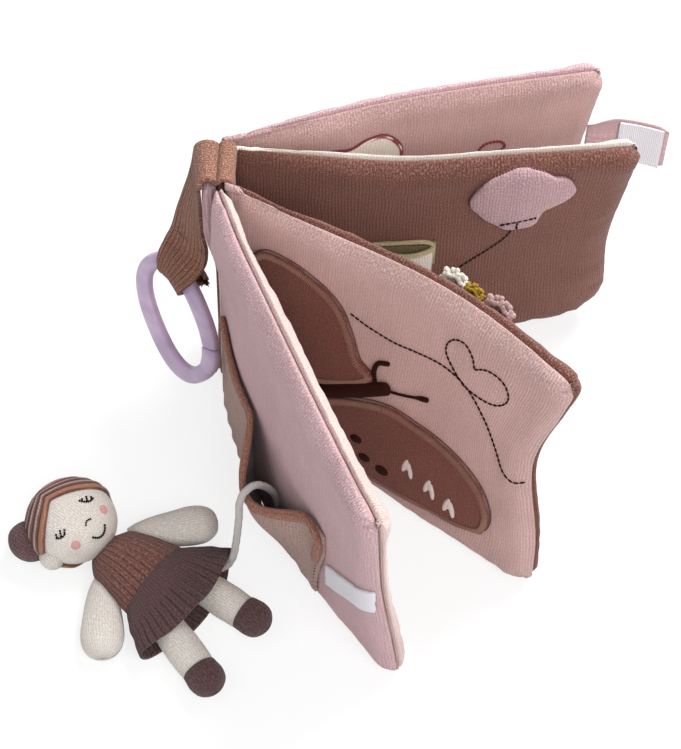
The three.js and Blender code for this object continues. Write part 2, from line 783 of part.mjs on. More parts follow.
function pagePocketBinding() {
  const low = pagePocketTop + touchGap;
  return secondPage.sheetOn(
    -1, spaced(pagePocketStart, pagePocketEnd, 6), spaced(low, low + pagePocketBindingHeight, 1),
    pagePocketLift, (s, z) => pagePocketLift(s, z) + 2 * pagePocketCloth,
  );
}

// A crochet flower: a round pad with petals, sewn behind the first page's top edge
function flower(color) {
  const radius = flowerRadiusShare * leafWidth * flowerSizeShares[color];
  const centre = onLeaf([flowerPlaceShares[color], flowerHeightShare]);
  const outline = spaced(0, fullTurn, 2 * flowerPetals).slice(0, -1).map((angle, i) => {
    const reach = radius * (i % 2 === 0 ? 1 : 1 - flowerPetalDepthShare);
    return [centre[0] + reach * Math.cos(angle), centre[1] + reach * Math.sin(angle)];
  });
  return firstPage.padOn(1, outline, centre, flowerEdge, flowerRise);
}

// A stuffed shape: a ball stretched to three half sizes
function ball(centre, half, grow = 0) {
  const shape = new THREE.SphereGeometry(1, 16, 10);
  shape.rotateZ(Math.PI / 2);
  shape.scale(...half.map((value) => value + grow));
  shape.translate(...centre);
  return solidOf(shape);
}

// Everything above the floor: it cuts a stuffed piece flat where it lies
function aboveFloor() {
  const reach = 2 * leafWidth;
  const block = new THREE.BoxGeometry(reach, reach, reach);
  block.translate(0, 0, reach / 2);
  return solidOf(block);
}

const floorSpace = aboveFloor();
const headCentre = [headCentreAlong, 0, headHalf[2] - floorCut];

function headSolid(grow = 0) {
  const ears = [-earSide, earSide].map((side) => ball([earAlong, side, earHeight], earHalf, grow));
  return ball(headCentre, headHalf, grow).add(ears[0]).add(ears[1]);
}

// The face side of the head, which the hair leaves free
function faceSpace() {
  const reach = headHalf[0] + overrun + hairBackEnd;
  const outline = new THREE.Shape();
  outline.moveTo(hairlineAlong, 0);
  outline.lineTo(hairlineAlong + hairlineSlopeShare * reach, reach);
  outline.lineTo(hairlineAlong + 2 * reach, reach);
  outline.lineTo(hairlineAlong + 2 * reach, -reach);
  outline.lineTo(hairlineAlong + hairlineSlopeShare * reach, -reach);
  outline.closePath();
  const front = new THREE.ExtrudeGeometry(outline, { depth: reach, bevelEnabled: false });
  front.translate(0, 0, hairSideHeight);
  const below = new THREE.BoxGeometry(reach, 2 * reach, 2 * reach);
  below.translate(hairBackEnd + reach / 2, 0, 0);
  return solidOf(front).add(solidOf(below));
}

function hairSolid() {
  const shell = ball(headCentre, headHalf, hairThickness + touchGap);
  return shell.subtract(headSolid(touchGap)).subtract(faceSpace());
}

// Rings of an oval section along the doll's length, lying on the floor
function ovalRow(along, halfWidth, halfHeight, sweep = 0, wave = 0) {
  return spaced(0, fullTurn, 16).slice(0, -1).map((angle) => {
    const side = Math.cos(angle);
    const ripple = wave * Math.cos(skirtWaves * angle);
    const x = along - sweep * side * side;
    const y = halfWidth * side;
    const z = halfHeight - floorCut + (halfHeight + ripple) * Math.sin(angle);
    return new THREE.Vector3(x, y, z);
  });
}

function torsoSolid() {
  const rows = torsoStationShares.map((share, i) => ovalRow(
    mix(torsoStart, torsoEnd, share), torsoHalfWidths[i], torsoHalfHeights[i],
  ));
  return solidOf(loftBody(rows));
}

function skirtSolid() {
  const waistHalfWidth = torsoHalfWidths.at(-1);
  const waistHalfHeight = torsoHalfHeights.at(-1);
  const start = torsoEnd + touchGap;
  const rows = skirtRowShares.map((share) => ovalRow(
    start + skirtLength * share, mix(waistHalfWidth, skirtHemHalfWidth, share),
    mix(waistHalfHeight, skirtHemHalfHeight, share), skirtHemSweep * share, skirtWaveDepth * share,
  ));
  return solidOf(loftBody(rows));
}

// A limb turned from a profile along x, then flattened, laid on the floor and swung to its heading
function limb(profile, flatShare, widest, place, heading, swing = 0) {
  const turned = new THREE.LatheGeometry(profile.map(([x, r]) => new THREE.Vector2(r, x)), 12);
  turned.rotateZ(-Math.PI / 2);
  turned.scale(1, 1, flatShare);
  turned.translate(0, 0, widest * flatShare - floorCut);
  turned.rotateZ((heading + swing) * degree);
  turned.translate(place[0], place[1], 0);
  return solidOf(turned);
}

// A limb's outline from shares of its length and half width, grown where it has to leave room
function limbProfile(stationShares, radiusShares, length, halfWidth, grow) {
  const last = stationShares.length - 1;
  return stationShares.map((share, i) => {
    const end = (share === stationShares[last] ? 1 : 0) - (share === stationShares[0] ? 1 : 0);
    const radius = radiusShares[i] === 0 ? 0 : radiusShares[i] * halfWidth + grow;
    return [share * length + end * grow, radius];
  });
}

function armProfile(grow = 0) {
  return limbProfile(armStationShares, armRadiusShares, armLength, armHalfWidth, grow);
}

function legProfile(grow = 0) {
  return limbProfile(legStationShares, legRadiusShares, legLength, legHalfWidth, grow);
}

function shoeProfile() {
  const start = legLength + touchGap;
  const toe = limbProfile(shoeStationShares, shoeRadiusShares, shoeLength, shoeHalfWidth, 0);
  return toe.map(([along, radius]) => [start + along, radius]);
}

const arms = {
  right: { place: rightArmShoulder, heading: rightArmAngle },
  left: { place: leftArmShoulder, heading: leftArmAngle },
};
const legs = {
  right: { place: [legStart, legSide], heading: rightLegAngle },
  left: { place: [legStart + legStagger, -legSide], heading: leftLegAngle },
};

function armSolid(side, grow = 0, swing = 0) {
  const { place, heading } = arms[side];
  return limb(armProfile(grow), armFlatShare, armHalfWidth, place, heading, swing);
}

function legSolid(side, grow = 0, swing = 0) {
  const { place, heading } = legs[side];
  return limb(legProfile(grow), legFlatShare, legHalfWidth, place, heading, swing);
}

function shoeSolid(side) {
  const { place, heading } = legs[side];
  return limb(shoeProfile(), legFlatShare, shoeHalfWidth, place, heading);
}

// A swung copy at each end of a joint's range, so that a socket leaves room for the motion
function sweptRoom(make, range) {
  return [-range, 0, range].map((swing) => make(swing)).reduce((all, one) => all.add(one));
}

// The cord, with straight square ends
function cordPath() {
  return new THREE.CatmullRomCurve3(cordRoute.map((p) => new THREE.Vector3(...p)), false, 'centripetal');
}

function cordBody(radius) {
  const section = new THREE.Shape(spaced(0, fullTurn, cordSides).slice(0, -1).map(
    (angle) => new THREE.Vector2(radius * Math.cos(angle), radius * Math.sin(angle)),
  ));
  return new THREE.ExtrudeGeometry(section, {
    steps: cordSteps, extrudePath: cordPath(), bevelEnabled: false,
  });
}

function dollPieces() {
  const room = runningGap;
  const neckPivot = [torsoStart, 0, 0];
  const toNeck = neckPivot.map((value) => -value);
  const turnedHead = (swing) => headSolid(room)
    .translate(...toNeck).rotate([0, 0, swing]).translate(...neckPivot);
  const headRoom = sweptRoom(turnedHead, headSwingAngle);
  const head = headSolid();
  const hair = hairSolid();
  const hairRoom = ball(headCentre, headHalf, hairThickness + 2 * touchGap);
  const bun = ball(bunCentre, bunHalf).subtract(hairRoom).subtract(headSolid(touchGap));
  const torso = torsoSolid().subtract(headRoom);
  const pieces = { doll_head: [head, '#e9e1d2'], doll_hair: [hair, '#6b4337'], doll_bun: [bun, '#4c3531'] };
  let skirt = skirtSolid();
  for (const side of ['right', 'left']) {
    skirt = skirt.subtract(sweptRoom((swing) => legSolid(side, room, swing), legSwingAngle));
  }
  let body = torso;
  for (const side of ['right', 'left']) {
    body = body.subtract(sweptRoom((swing) => armSolid(side, room, swing), armSwingAngle));
    skirt = skirt.subtract(sweptRoom((swing) => armSolid(side, room, swing), armSwingAngle));
    pieces[`doll_${side}_arm`] = [armSolid(side), '#e4dccd'];
    pieces[`doll_${side}_leg`] = [legSolid(side), '#e4dccd'];
    pieces[`doll_${side}_shoe`] = [shoeSolid(side), '#4b3733'];
  }
  pieces.doll_torso = [body, '#6f4a40'];
  pieces.doll_skirt = [skirt, '#56403c'];
  return pieces;
}

// The doll's solids, turned and laid beside the book
function dollGroup() {
  const group = new THREE.Group();
  const cordRoom = solidOf(cordBody(cordDiameter / 2 + touchGap));
  for (const [name, [solid, color]] of Object.entries(dollPieces())) {
    let laid = solid.intersect(floorSpace).rotate([0, 0, dollAngle]).translate(...dollPlace, 0);
    if (name === 'doll_skirt') laid = laid.subtract(cordRoom);
    group.add(named(name, geometryOf(laid), color));
  }
  group.add(named('doll_tether', cordBody(cordDiameter / 2), '#e6e2dc'));
  return group;
}

function bookGroup() {
  const group = new THREE.Group();
  const body = butterflyBody();
  group.add(
    named('spine_cover', spineSlab(spineCoverBack, spineCoverFront, spineSide), '#c9a3a8'),
    named('spine_lining', spineSlab(liningFront - spineLiningThickness, liningFront, liningSide), '#8a5f56'),
    named('front_fold_seam', foldSeam(frontFold), '#8a5f56'),
    named('back_fold_seam', foldSeam(backFold), '#8a5f56'),
    named('front_cover_outer_panel', frontCover.panel(-1), '#c9a3a8'),
    named('front_cover_lining_panel', frontCover.panel(1), '#e2cdc6'),
    named('front_cover_wadding', frontCover.wadding(), '#f2efe9'),
    named('first_page_front_panel', firstPage.panel(-1), '#cfa9a4'),
    named('first_page_back_panel', firstPage.panel(1), '#8a5f56'),
    named('first_page_wadding', firstPage.wadding(), '#f2efe9'),
    named('second_page_front_panel', secondPage.panel(-1), '#8a5f56'),
    named('second_page_back_panel', secondPage.panel(1), '#e6ddd0'),
    named('second_page_wadding', secondPage.wadding(), '#f2efe9'),
    named('back_cover_lining_panel', backCover.panel(-1), '#cfa9a4'),
    named('back_cover_outer_panel', backCover.panel(1), '#c9a3a8'),
    named('back_cover_wadding', backCover.wadding(), '#f2efe9'),
    named('strap_top', strapTop(), '#7d574b'),
    named('strap_loop', strapLoop(), '#7d574b'),
    named('link_ring', linkRing(), '#cbb9d3', 0.45),
    named('cover_pocket_panel', pocketPanel(), '#cdb8a8'),
    named('cover_pocket_binding', pocketBinding(), '#a5776b'),
    named('hook_strip', hookStrip(), '#f2f1f4'),
    named('closing_tab', closingTab(), '#cfa9a9'),
    named('tab_hook_patch', tabPatch(), '#eceef6'),
    named('butterfly_upper_wing', wing(upperWingOutlineShares, upperWingCentreShares), '#7f5249'),
    named('butterfly_lower_wing', wing(lowerWingOutlineShares, lowerWingCentreShares), '#7f5249'),
    named('butterfly_body', firstPage.padOn(
      -1, body.outline, body.centre, butterflyBodyRise / 2, butterflyBodyRise,
    ), '#4a2f2c'),
    named('balloon', secondPage.padOn(
      -1, balloonOutlineShares.map(onLeaf), onLeaf(balloonCentreShares), balloonEdge, balloonRise,
    ), '#c9a3a8'),
    named('page_pocket_panel', pagePocket(), '#d9cdb9'),
    named('page_pocket_binding', pagePocketBinding(), '#9c8b5e'),
    named('white_flower', flower('white'), '#efe9df'),
    named('yellow_flower', flower('yellow'), '#cba83c'),
    named('pink_flower', flower('pink'), '#c99a9c'),
    named('cloud', backCover.padOn(
      -1, cloudOutlineShares.map(onLeaf), onLeaf(cloudCentreShares), cloudEdge, cloudRise,
    ), '#ece6dc'),
  );
  return group;
}

const clothBook = new THREE.Group();
clothBook.add(bookGroup(), dollGroup());
export default clothBook;
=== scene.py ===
"""A cloth book that stands half open, with a link ring on a strap and a small knitted doll on a cord.

Sizes are in millimetres in the functions below and become metres where a mesh is made. A place on a leaf
is given as s, the distance from the spine, and z, the height. Side -1 is the face on the right of a walk
from the spine to the fore edge, and side 1 is the other.
"""

import math
from bisect import bisect_right

import bmesh
import bpy
from mathutils import Matrix, Vector, noise


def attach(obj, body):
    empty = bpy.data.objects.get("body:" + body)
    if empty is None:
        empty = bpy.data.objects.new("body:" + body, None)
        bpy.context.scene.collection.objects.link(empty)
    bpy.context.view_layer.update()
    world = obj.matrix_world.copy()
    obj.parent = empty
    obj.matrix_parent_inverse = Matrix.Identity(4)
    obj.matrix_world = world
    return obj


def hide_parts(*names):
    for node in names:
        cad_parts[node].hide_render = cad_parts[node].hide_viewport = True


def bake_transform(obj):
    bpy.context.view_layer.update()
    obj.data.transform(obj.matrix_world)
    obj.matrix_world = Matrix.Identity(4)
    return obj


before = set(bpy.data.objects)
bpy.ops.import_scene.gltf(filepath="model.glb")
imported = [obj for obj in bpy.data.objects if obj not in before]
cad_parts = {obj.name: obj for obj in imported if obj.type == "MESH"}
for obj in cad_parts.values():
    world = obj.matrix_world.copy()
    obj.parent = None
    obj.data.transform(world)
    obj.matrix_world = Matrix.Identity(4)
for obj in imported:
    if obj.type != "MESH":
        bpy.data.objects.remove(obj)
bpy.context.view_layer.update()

MM = 0.001
TURN = 2 * math.pi
LEAF_WIDTH, LEAF_HEIGHT = 165.0, 122.0


def mix(a, b, t):
    return a + (b - a) * t


def clamp(x, low=0.0, high=1.0):
    return min(high, max(low, x))


def smooth_step(x):
    t = clamp(x)
    return t * t * (3 - 2 * t)


def ripple(x, y, size, seed=0.0):
    """A soft wave between about -1 and 1, the same in each run."""
    return noise.noise(Vector((x / size, y / size, seed)))


def power(value, exponent):
    """A power that keeps the sign of its base."""
    return math.copysign(abs(value) ** exponent, value)


def reach_of(path):
    """How far along a path each of its points is."""
    out = [0.0]
    for a, b in zip(path, path[1:]):
        out.append(out[-1] + (b - a).length)
    return out


# ---------------------------------------------------------------- camera

CAMERA_PLACE = Vector((0.0493, -0.5624, 0.7467))
CAMERA_TILT = math.radians(53.56)
CAMERA_ROLL = math.radians(2.02)
CAMERA_LENS = 110.06


def set_camera():
    right = Vector((1, 0, 0))
    up = Vector((0, math.sin(CAMERA_TILT), math.cos(CAMERA_TILT)))
    look = Vector((0, math.cos(CAMERA_TILT), -math.sin(CAMERA_TILT)))
    side = right * math.cos(CAMERA_ROLL) + up * math.sin(CAMERA_ROLL)
    top = up * math.cos(CAMERA_ROLL) - right * math.sin(CAMERA_ROLL)
    data = bpy.data.cameras.new("photo_camera")
    data.sensor_fit = "HORIZONTAL"
    data.sensor_width = 36.0
    data.lens = CAMERA_LENS
    data.clip_start, data.clip_end = 0.05, 20
    camera = bpy.data.objects.new("photo_camera", data)
    turned = Matrix((side, top, -look)).transposed().to_4x4()
    camera.matrix_world = Matrix.Translation(CAMERA_PLACE) @ turned
    bpy.context.scene.collection.objects.link(camera)
    bpy.context.scene.camera = camera


set_camera()


# ---------------------------------------------------------------- finishes

def tone(code):
    """A colour from its hex code, as light."""
    def light(value):
        return value / 12.92 if value <= 0.04045 else ((value + 0.055) / 1.055) ** 2.4
    return tuple(light(int(code[i:i + 2], 16) / 255) for i in (1, 3, 5)) + (1.0,)


class Link:
    """A value on its way through a finish's nodes; arithmetic on it adds Math nodes."""

    def __init__(self, finish, socket):
        self.finish, self.socket = finish, socket

    def math(self, operation, *values):
        return self.finish.node("Math", values, operation=operation)

    def fraction(self):
        return self.math("FRACT", self)

    def wave(self):
        """A sine between 0 and 1 that repeats each whole number."""
        return self.math("SINE", self * TURN) * 0.5 + 0.5

    def ridge(self):
        """0 at each whole number and 1 midway between them."""
        return 1 - self.math("ABSOLUTE", self.fraction() * 2 - 1)

    def step(self, low, high):
        return self.finish.node("MapRange", (self, low, high), interpolation_type="SMOOTHSTEP")


for sign, operation in (
    ("add", "ADD"), ("sub", "SUBTRACT"), ("mul", "MULTIPLY"), ("truediv", "DIVIDE"), ("pow", "POWER"),
):
    setattr(Link, f"__{sign}__", lambda a, b, operation=operation: a.math(operation, a, b))
    setattr(Link, f"__r{sign}__", lambda a, b, operation=operation: a.math(operation, b, a))


class Finish:
    """A material whose shader is fed by the links that node() makes."""

    def __init__(self, name, roughness=0.9, sheen=0.0, coat=0.0, specular=0.3):
        self.material = bpy.data.materials.new(name)
        self.material.use_nodes = True
        self.tree = self.material.node_tree
        self.shader = self.tree.nodes["Principled BSDF"]
        self.set("Roughness", roughness)
        self.set("Sheen Weight", sheen)
        self.set("Coat Weight", coat)
        self.set("Specular IOR Level", specular)

    def set(self, name, value):
        self.feed(self.shader.inputs[name], value)

    def feed(self, socket, value):
        if isinstance(value, Link):
            self.tree.links.new(value.socket, socket)
        else:
            socket.default_value = value

    def node(self, kind, values=(), out=0, **settings):
        made = self.tree.nodes.new("ShaderNode" + kind)
        for key, value in settings.items():
            setattr(made, key, value)
        for key, value in values.items() if isinstance(values, dict) else enumerate(values):
            self.feed(made.inputs[key], value)
        return Link(self, made.outputs[out])

    def blend(self, share, a, b, kind="MIX"):
        return self.node("Mix", {0: share, 6: a, 7: b}, out=2, data_type="RGBA", blend_type=kind)

    def place(self):
        """The piece's own flat coordinates in mm, and their two parts."""
        flat = self.node("UVMap", uv_map="UVMap")
        return flat, self.node("SeparateXYZ", (flat,)), self.node("SeparateXYZ", (flat,), out=1)

    def speckle(self, vector, scale, detail=2.0, stretch=None):
        if stretch:
            vector = self.node("Mapping", {0: vector, 3: stretch})
        return self.node("TexNoise", {"Vector": vector, "Scale": scale, "Detail": detail})

    def bump(self, height, depth):
        self.set("Normal", self.node("Bump", {"Height": height, "Distance": depth * MM}))


def knit(name, tones, wale=1.25, course=0.95, depth=0.22, flecks=0.5, rib=0.0, rib_from=0.0, heather=0.2,
         top_highlight=False):
    """Stockinette: columns of small v-shaped stitches, with the heather of a dyed yarn. tones are the yarn's,
    the grooves' and the flecks'; the darker groove tone is painted shade in the gaps between the stitches,
    and also colours some dark flecks. For a leaf's cloth, the last argument paints a highlight: more pale
    flecks along the rolled top edge, where the light falls."""
    yarn, groove, fleck = (tone(code) for code in tones.split())
    finish = Finish(name, roughness=0.92, sheen=0.14)
    flat, u, v = finish.place()
    drift = finish.speckle(flat, 0.09, 1.0)
    column = u / wale + (drift - 0.5) * 1.4
    row = v / course + (drift - 0.5) * 1.2
    ridge = column.ridge()
    leg = (row + ridge * 0.45).wave()
    height = (ridge ** 0.6) * (0.55 + leg * 0.45)
    grain = finish.speckle(flat, 1.7, 2.0, (1.0, 0.6, 1.0))
    streak = finish.speckle(flat, 0.8, 2.0, (1.3, 0.06, 1.0))
    cloud = finish.speckle(flat, 0.045, 3.0)
    # painted highlight: on a leaf's cloth, more pale flecks along the rolled top edge, where the light falls
    flecks = flecks * (0.55 + v.step(119, 128) * 0.75) if top_highlight else flecks
    # painted shade: the gaps between the stitches take the darker groove tone
    colour = finish.blend(height.step(0.0, 0.9) * 0.55 + 0.45, groove, yarn)
    colour = finish.blend(grain.step(0.48, 0.7) * flecks, colour, fleck)
    colour = finish.blend((1 - grain).step(0.5, 0.72) * flecks * 0.7, colour, groove)
    shade = (cloud - 0.5) * 0.34 + (streak - 0.5) * heather * 1.4 + (grain - 0.5) * heather + 1.0
    if rib:
        valley = (u / rib).ridge().step(0.0, 0.5)
        if rib_from:
            valley = 1 - (1 - valley) * v.step(rib_from, rib_from + 2)
        # painted shade: the narrow valleys between the ribs are darker
        shade = shade * (0.74 + valley * 0.26)
        height = height + valley * 1.8
    grey = finish.node("CombineColor", (shade, shade, shade))
    finish.set("Base Color", finish.blend(1.0, colour, grey, "MULTIPLY"))
    finish.set("Roughness", 0.97 - height * 0.08)
    finish.bump(height + grain * 0.8, depth)
    return finish


def thread(name, colour, dark, pitch=0.42, slant=0.6, depth=0.12, sheen=0.05, roughness=0.6):
    """Twisted or satin-stitched thread, in fine slanted lines."""
    finish = Finish(name, roughness=roughness, sheen=sheen, specular=0.15)
    spot = finish.node("TexCoord", out=3)
    x, y, z = (finish.node("SeparateXYZ", (spot,), out=i) for i in range(3))
    strand = ((x * 1000 * slant + y * 600 + z * 1000) / pitch).ridge()
    mottle = finish.speckle(spot, 900.0, 2.0)
    # painted shade: the fine lines between the strands take the dark tone, varied at random by the mottle
    finish.set("Base Color", finish.blend(strand * 0.75 + mottle * 0.25, tone(dark), tone(colour)))
    finish.bump(strand + mottle * 0.4, depth)
    return finish


def tape(name, colour, shade, pitch=0.8):
    """A white hook tape: a woven ground with rows of tiny hooks."""
    finish = Finish(name, roughness=0.5, sheen=0.1, specular=0.5)
    flat, u, v = finish.place()
    hook = (u / pitch).ridge() * (v / pitch + (u / pitch).fraction().step(0.49, 0.51) * 0.5).ridge()
    grain = finish.speckle(flat, 1.4, 3.0)
    finish.set("Base Color", finish.blend(hook.step(0.2, 0.7) * 0.7 + grain * 0.3, tone(shade), tone(colour)))
    finish.set("Roughness", 0.62 - hook * 0.2)
    finish.bump(hook + grain * 0.3, 0.35)
    return finish


def moulded(name, colour, cool):
    """Satin plastic with faint flow marks and handling scuffs."""
    finish = Finish(name, roughness=0.38, coat=0.15, specular=0.5)
    spot = finish.node("TexCoord", out=3)
    flow = finish.speckle(spot, 60.0, 3.0, (1.0, 1.0, 2.5))
    scuff = finish.speckle(spot, 700.0, 4.0)
    finish.set("Base Color", finish.blend(flow.step(0.3, 0.75), tone(cool), tone(colour)))
    finish.set("Roughness", 0.34 + scuff * 0.16)
    finish.bump(scuff * 0.6 + flow * 0.4, 0.04)
    return finish


COVER_KNIT = knit("cover_knit", "#c9a6aa #a58186 #ead6d9", wale=1.3, heather=0.12, top_highlight=True)
LINING_KNIT = knit("lining_knit", "#dec7c1 #b9988f #f6eae6", wale=1.3, depth=0.15, heather=0.1, top_highlight=True)
PINK_KNIT = knit("pink_knit", "#c6a5a1 #a07c78 #e7d1ce", heather=0.12, top_highlight=True)
INNER_KNIT = knit("inner_knit", "#bf9a97 #957170 #dec3c1", heather=0.14, top_highlight=True)
BROWN_KNIT = knit("brown_knit", "#7c5045 #4c2a22 #b38b7f", wale=1.35, heather=0.16, top_highlight=True)
CREAM_KNIT = knit("cream_knit", "#e6dcd3 #c5b6aa #f6f1ea", heather=0.1)
STRAP_KNIT = knit("strap_knit", "#946350 #4f2c20 #c39580", wale=1.4, course=1.1, depth=0.3, rib=2.3)
STRAP_TOP_KNIT = knit("strap_top_knit", "#9c6a57 #543022 #d0a690", wale=1.3, depth=0.4, flecks=0.8)
POCKET_KNIT = knit("pocket_knit", "#ad8f85 #83665d #d3bfb6", wale=1.3, flecks=0.4, heather=0.16)
BINDING_KNIT = knit("binding_knit", "#986656 #664032 #c09484", wale=1.1, depth=0.25)
# painted shade: a dark brown for the inside face of the cover's pocket, which lies in deep shadow
POCKET_PAINTED_SHADE = knit("pocket_painted_shade", "#4c2a25 #2a1410 #6a423b", wale=1.2)
WING_KNIT = knit("wing_knit", "#764235 #46221a #9a6759", wale=1.2, heather=0.14)
BALLOON_KNIT = knit("balloon_knit", "#bd9a9e #906f73 #dfc9cc", heather=0.12)
OLIVE_TAPE = knit("olive_tape", "#bfb38c #8f8159 #dcd3b3", wale=0.9, depth=0.2)
OLIVE_LINING = knit("olive_lining", "#96865a #6a5a38 #b6a77a", wale=0.9, depth=0.2)
SKIN_KNIT = knit("skin_knit", "#dad3cb #b3aaa1 #f1ede7", wale=1.05, course=0.9, depth=0.16, heather=0.1)
TORSO_KNIT = knit("torso_knit", "#7e5047 #45241f #ad8073", wale=1.3, course=1.2, depth=0.4, rib=2.5)
SKIRT_KNIT = knit(
    "skirt_knit", "#5c4141 #352323 #775c5b", wale=1.5, course=1.1, depth=0.35, rib=3.0, rib_from=14.0)
SHOE_KNIT = knit("shoe_knit", "#5b4241 #342424 #7b5f5d", wale=1.2, course=1.0, depth=0.25)
BUN_KNIT = knit("bun_knit", "#64474a #38262a #8d6c6c", wale=1.4, course=1.1, depth=0.35)
DARK_THREAD = thread("dark_thread", "#3d180e", "#210b06", sheen=0.0, roughness=0.95)
FACE_THREAD = thread("face_thread", "#2a1a18", "#120a09")
WHITE_THREAD = thread("white_thread", "#efe4e0", "#cbbab4")
TAN_THREAD = thread("tan_thread", "#b68c7d", "#75503f", roughness=0.9)
SHADE_THREAD = thread("shade_thread", "#5c3a31", "#38201a", roughness=0.9)
CRIMSON_THREAD = thread("crimson_thread", "#a8505a", "#6f2f38")
ROSE_THREAD = thread("rose_thread", "#b98d90", "#8f6467", roughness=0.8)
BLUSH_THREAD = thread("blush_thread", "#dda9a4", "#c98f8a")
CORD_COTTON = thread("cord_cotton", "#e2dfdc", "#b5b0ab", pitch=0.7, slant=1.1, depth=0.2, roughness=0.8)
HOOK_TAPE = tape("hook_tape", "#fdfcff", "#e2dfe8")
RING_PLASTIC = moulded("ring_plastic", "#cdb9d3", "#b7a1c0")


# ---------------------------------------------------------------- making pieces

def piece_of(bm, name):
    mesh = bpy.data.meshes.new(name)
    bm.to_mesh(mesh)
    bm.free()
    for polygon in mesh.polygons:
        polygon.use_smooth = True
    piece = bpy.data.objects.new(name, mesh)
    bpy.context.scene.collection.objects.link(piece)
    return piece


def weld(piece, dist=1e-6, turned=True):
    """Joins the points of a piece that lie together, and turns its faces outward."""
    bm = bmesh.new()
    bm.from_mesh(piece.data)
    bmesh.ops.remove_doubles(bm, verts=bm.verts, dist=dist)
    if turned:
        bmesh.ops.recalc_face_normals(bm, faces=bm.faces)
    bm.to_mesh(piece.data)
    bm.free()


def grid_piece(name, columns, rows, place, flat, wrap=False, outward=None):
    """A piece from a grid whose points move to place(u, v), u and v from 0 to 1; flat(u, v) gives its cloth
    coordinates in mm. wrap joins its two sides into a tube and closes the ends; an open piece faces
    outward."""
    bm = bmesh.new()
    layer = bm.loops.layers.uv.new("UVMap")
    bmesh.ops.create_grid(bm, x_segments=columns, y_segments=rows, size=0.5)
    shares = [(vert.co.x + 0.5, vert.co.y + 0.5) for vert in bm.verts]
    bm.verts.index_update()
    for face in bm.faces:
        for loop in face.loops:
            loop[layer].uv = flat(*shares[loop.vert.index])
    for vert, share in zip(bm.verts, shares):
        vert.co = place(*share) * MM
    if wrap:
        bmesh.ops.remove_doubles(bm, verts=bm.verts, dist=1e-6)
        bmesh.ops.holes_fill(bm, edges=bm.edges, sides=0)
        bmesh.ops.recalc_face_normals(bm, faces=bm.faces)
    if outward:
        bm.normal_update()
        if sum((face.normal * face.calc_area()).dot(outward) for face in bm.faces) < 0:
            bmesh.ops.reverse_faces(bm, faces=bm.faces)
    return piece_of(bm, name)


def thicken(piece, thickness, offset=-1.0):
    wall = piece.modifiers.new("wall", "SOLIDIFY")
    wall.thickness = thickness * MM
    wall.offset = offset
    wall.use_even_offset = False
    return piece


def settle(piece, body, finish, *nodes, slot=None, fill=None):
    """The piece gets its finish and rides on its body, and the CAD nodes that it takes the place of are
    hidden.
    """
    piece.data.materials.append(finish.material)
    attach(piece, body)
    if nodes:
        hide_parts(*nodes)
    slot or nodes[0]
    return piece


def smooth_path(corners, steps, closed=False):
    """A curve through the corners that keeps its bends even, with steps points between each two."""
    points = [Vector((*corner, 0)[:3]) for corner in corners]
    if not closed:
        points = [2 * points[0] - points[1]] + points + [2 * points[-1] - points[-2]]
    path = []
    for i in range(len(points)) if closed else range(1, len(points) - 2):
        a, b, c, d = (points[(i + k) % len(points)] for k in (-1, 0, 1, 2))
        t1 = max((b - a).length, 1e-9) ** 0.5
        t2 = t1 + max((c - b).length, 1e-9) ** 0.5
        t3 = t2 + max((d - c).length, 1e-9) ** 0.5
        for k in range(steps):
            t = mix(t1, t2, k / steps)
            p, q, r = a.lerp(b, t / t1), b.lerp(c, (t - t1) / (t2 - t1)), c.lerp(d, (t - t2) / (t3 - t2))
            path.append(p.lerp(q, t / t2).lerp(q.lerp(r, (t - t1) / (t3 - t1)), (t - t1) / (t2 - t1)))
    if not closed:
        path.append(points[-2])
    return path


def spaced_out(path, pitch):
    """Points along a path, each a pitch from the last."""
    out, left = [path[0]], pitch
    for a, b in zip(path, path[1:]):
        length = (b - a).length
        while length >= left:
            a = a.lerp(b, left / length)
            out.append(a)
            length = (b - a).length
            left = pitch
        left -= length
    return out


def tube(name, path, radius, sides=16, normals=None, flat=1.0, twist=0.0, lobes=0, lobe_depth=0.0,
         round_ends=True):
    """A closed tube along a path. radius is a number or a function of the share of its length."""
    reach = reach_of(path)
    last = len(path) - 1
    side = None
    frames = []
    for i, point in enumerate(path):
        along = (path[min(last, i + 1)] - path[max(0, i - 1)]).normalized()
        if normals:
            side = normals[i]
        elif side is None:
            side = Vector((0, 0, 1)).cross(along)
            if side.length < 0.1:
                side = Vector((1, 0, 0)).cross(along)
        side = (side - along * side.dot(along)).normalized()
        frames.append((point, side, along.cross(side)))
    size = radius if callable(radius) else lambda share: radius
    ends = 4 if round_ends else 0
    rows = last + 2 * ends

    def place(u, v):
        row = round(v * rows)
        i = min(last, max(0, row - ends))
        point, across, up = frames[i]
        r = size(reach[i] / reach[-1])
        shift = Vector()
        if row < ends or row > last + ends:
            turn = (ends - row if row < ends else row - last - ends) / ends
            along = (path[1] - path[0]) if row < ends else (path[-1] - path[-2])
            shift = along.normalized() * r * math.sin(turn * math.pi / 2 * 0.96) * (-1 if row < ends else 1)
            r *= math.cos(turn * math.pi / 2 * 0.96)
        angle = u * TURN
        r *= 1 + lobe_depth * math.cos(lobes * angle + twist * reach[i])
        return point + shift + across * r * math.cos(angle) + up * r * flat * math.sin(angle)

    def lay(u, v):
        i = min(last, max(0, round(v * rows) - ends))
        return (u * TURN * size(0.5), reach[i])

    return grid_piece(name, sides, rows, place, lay, wrap=True)


def tube_on(name, laid, radius, **look):
    """A tube along a cloth, through points that each come with the direction that the cloth faces there."""
    path, faces = zip(*laid)
    return tube(name, path, radius, normals=faces, **look)


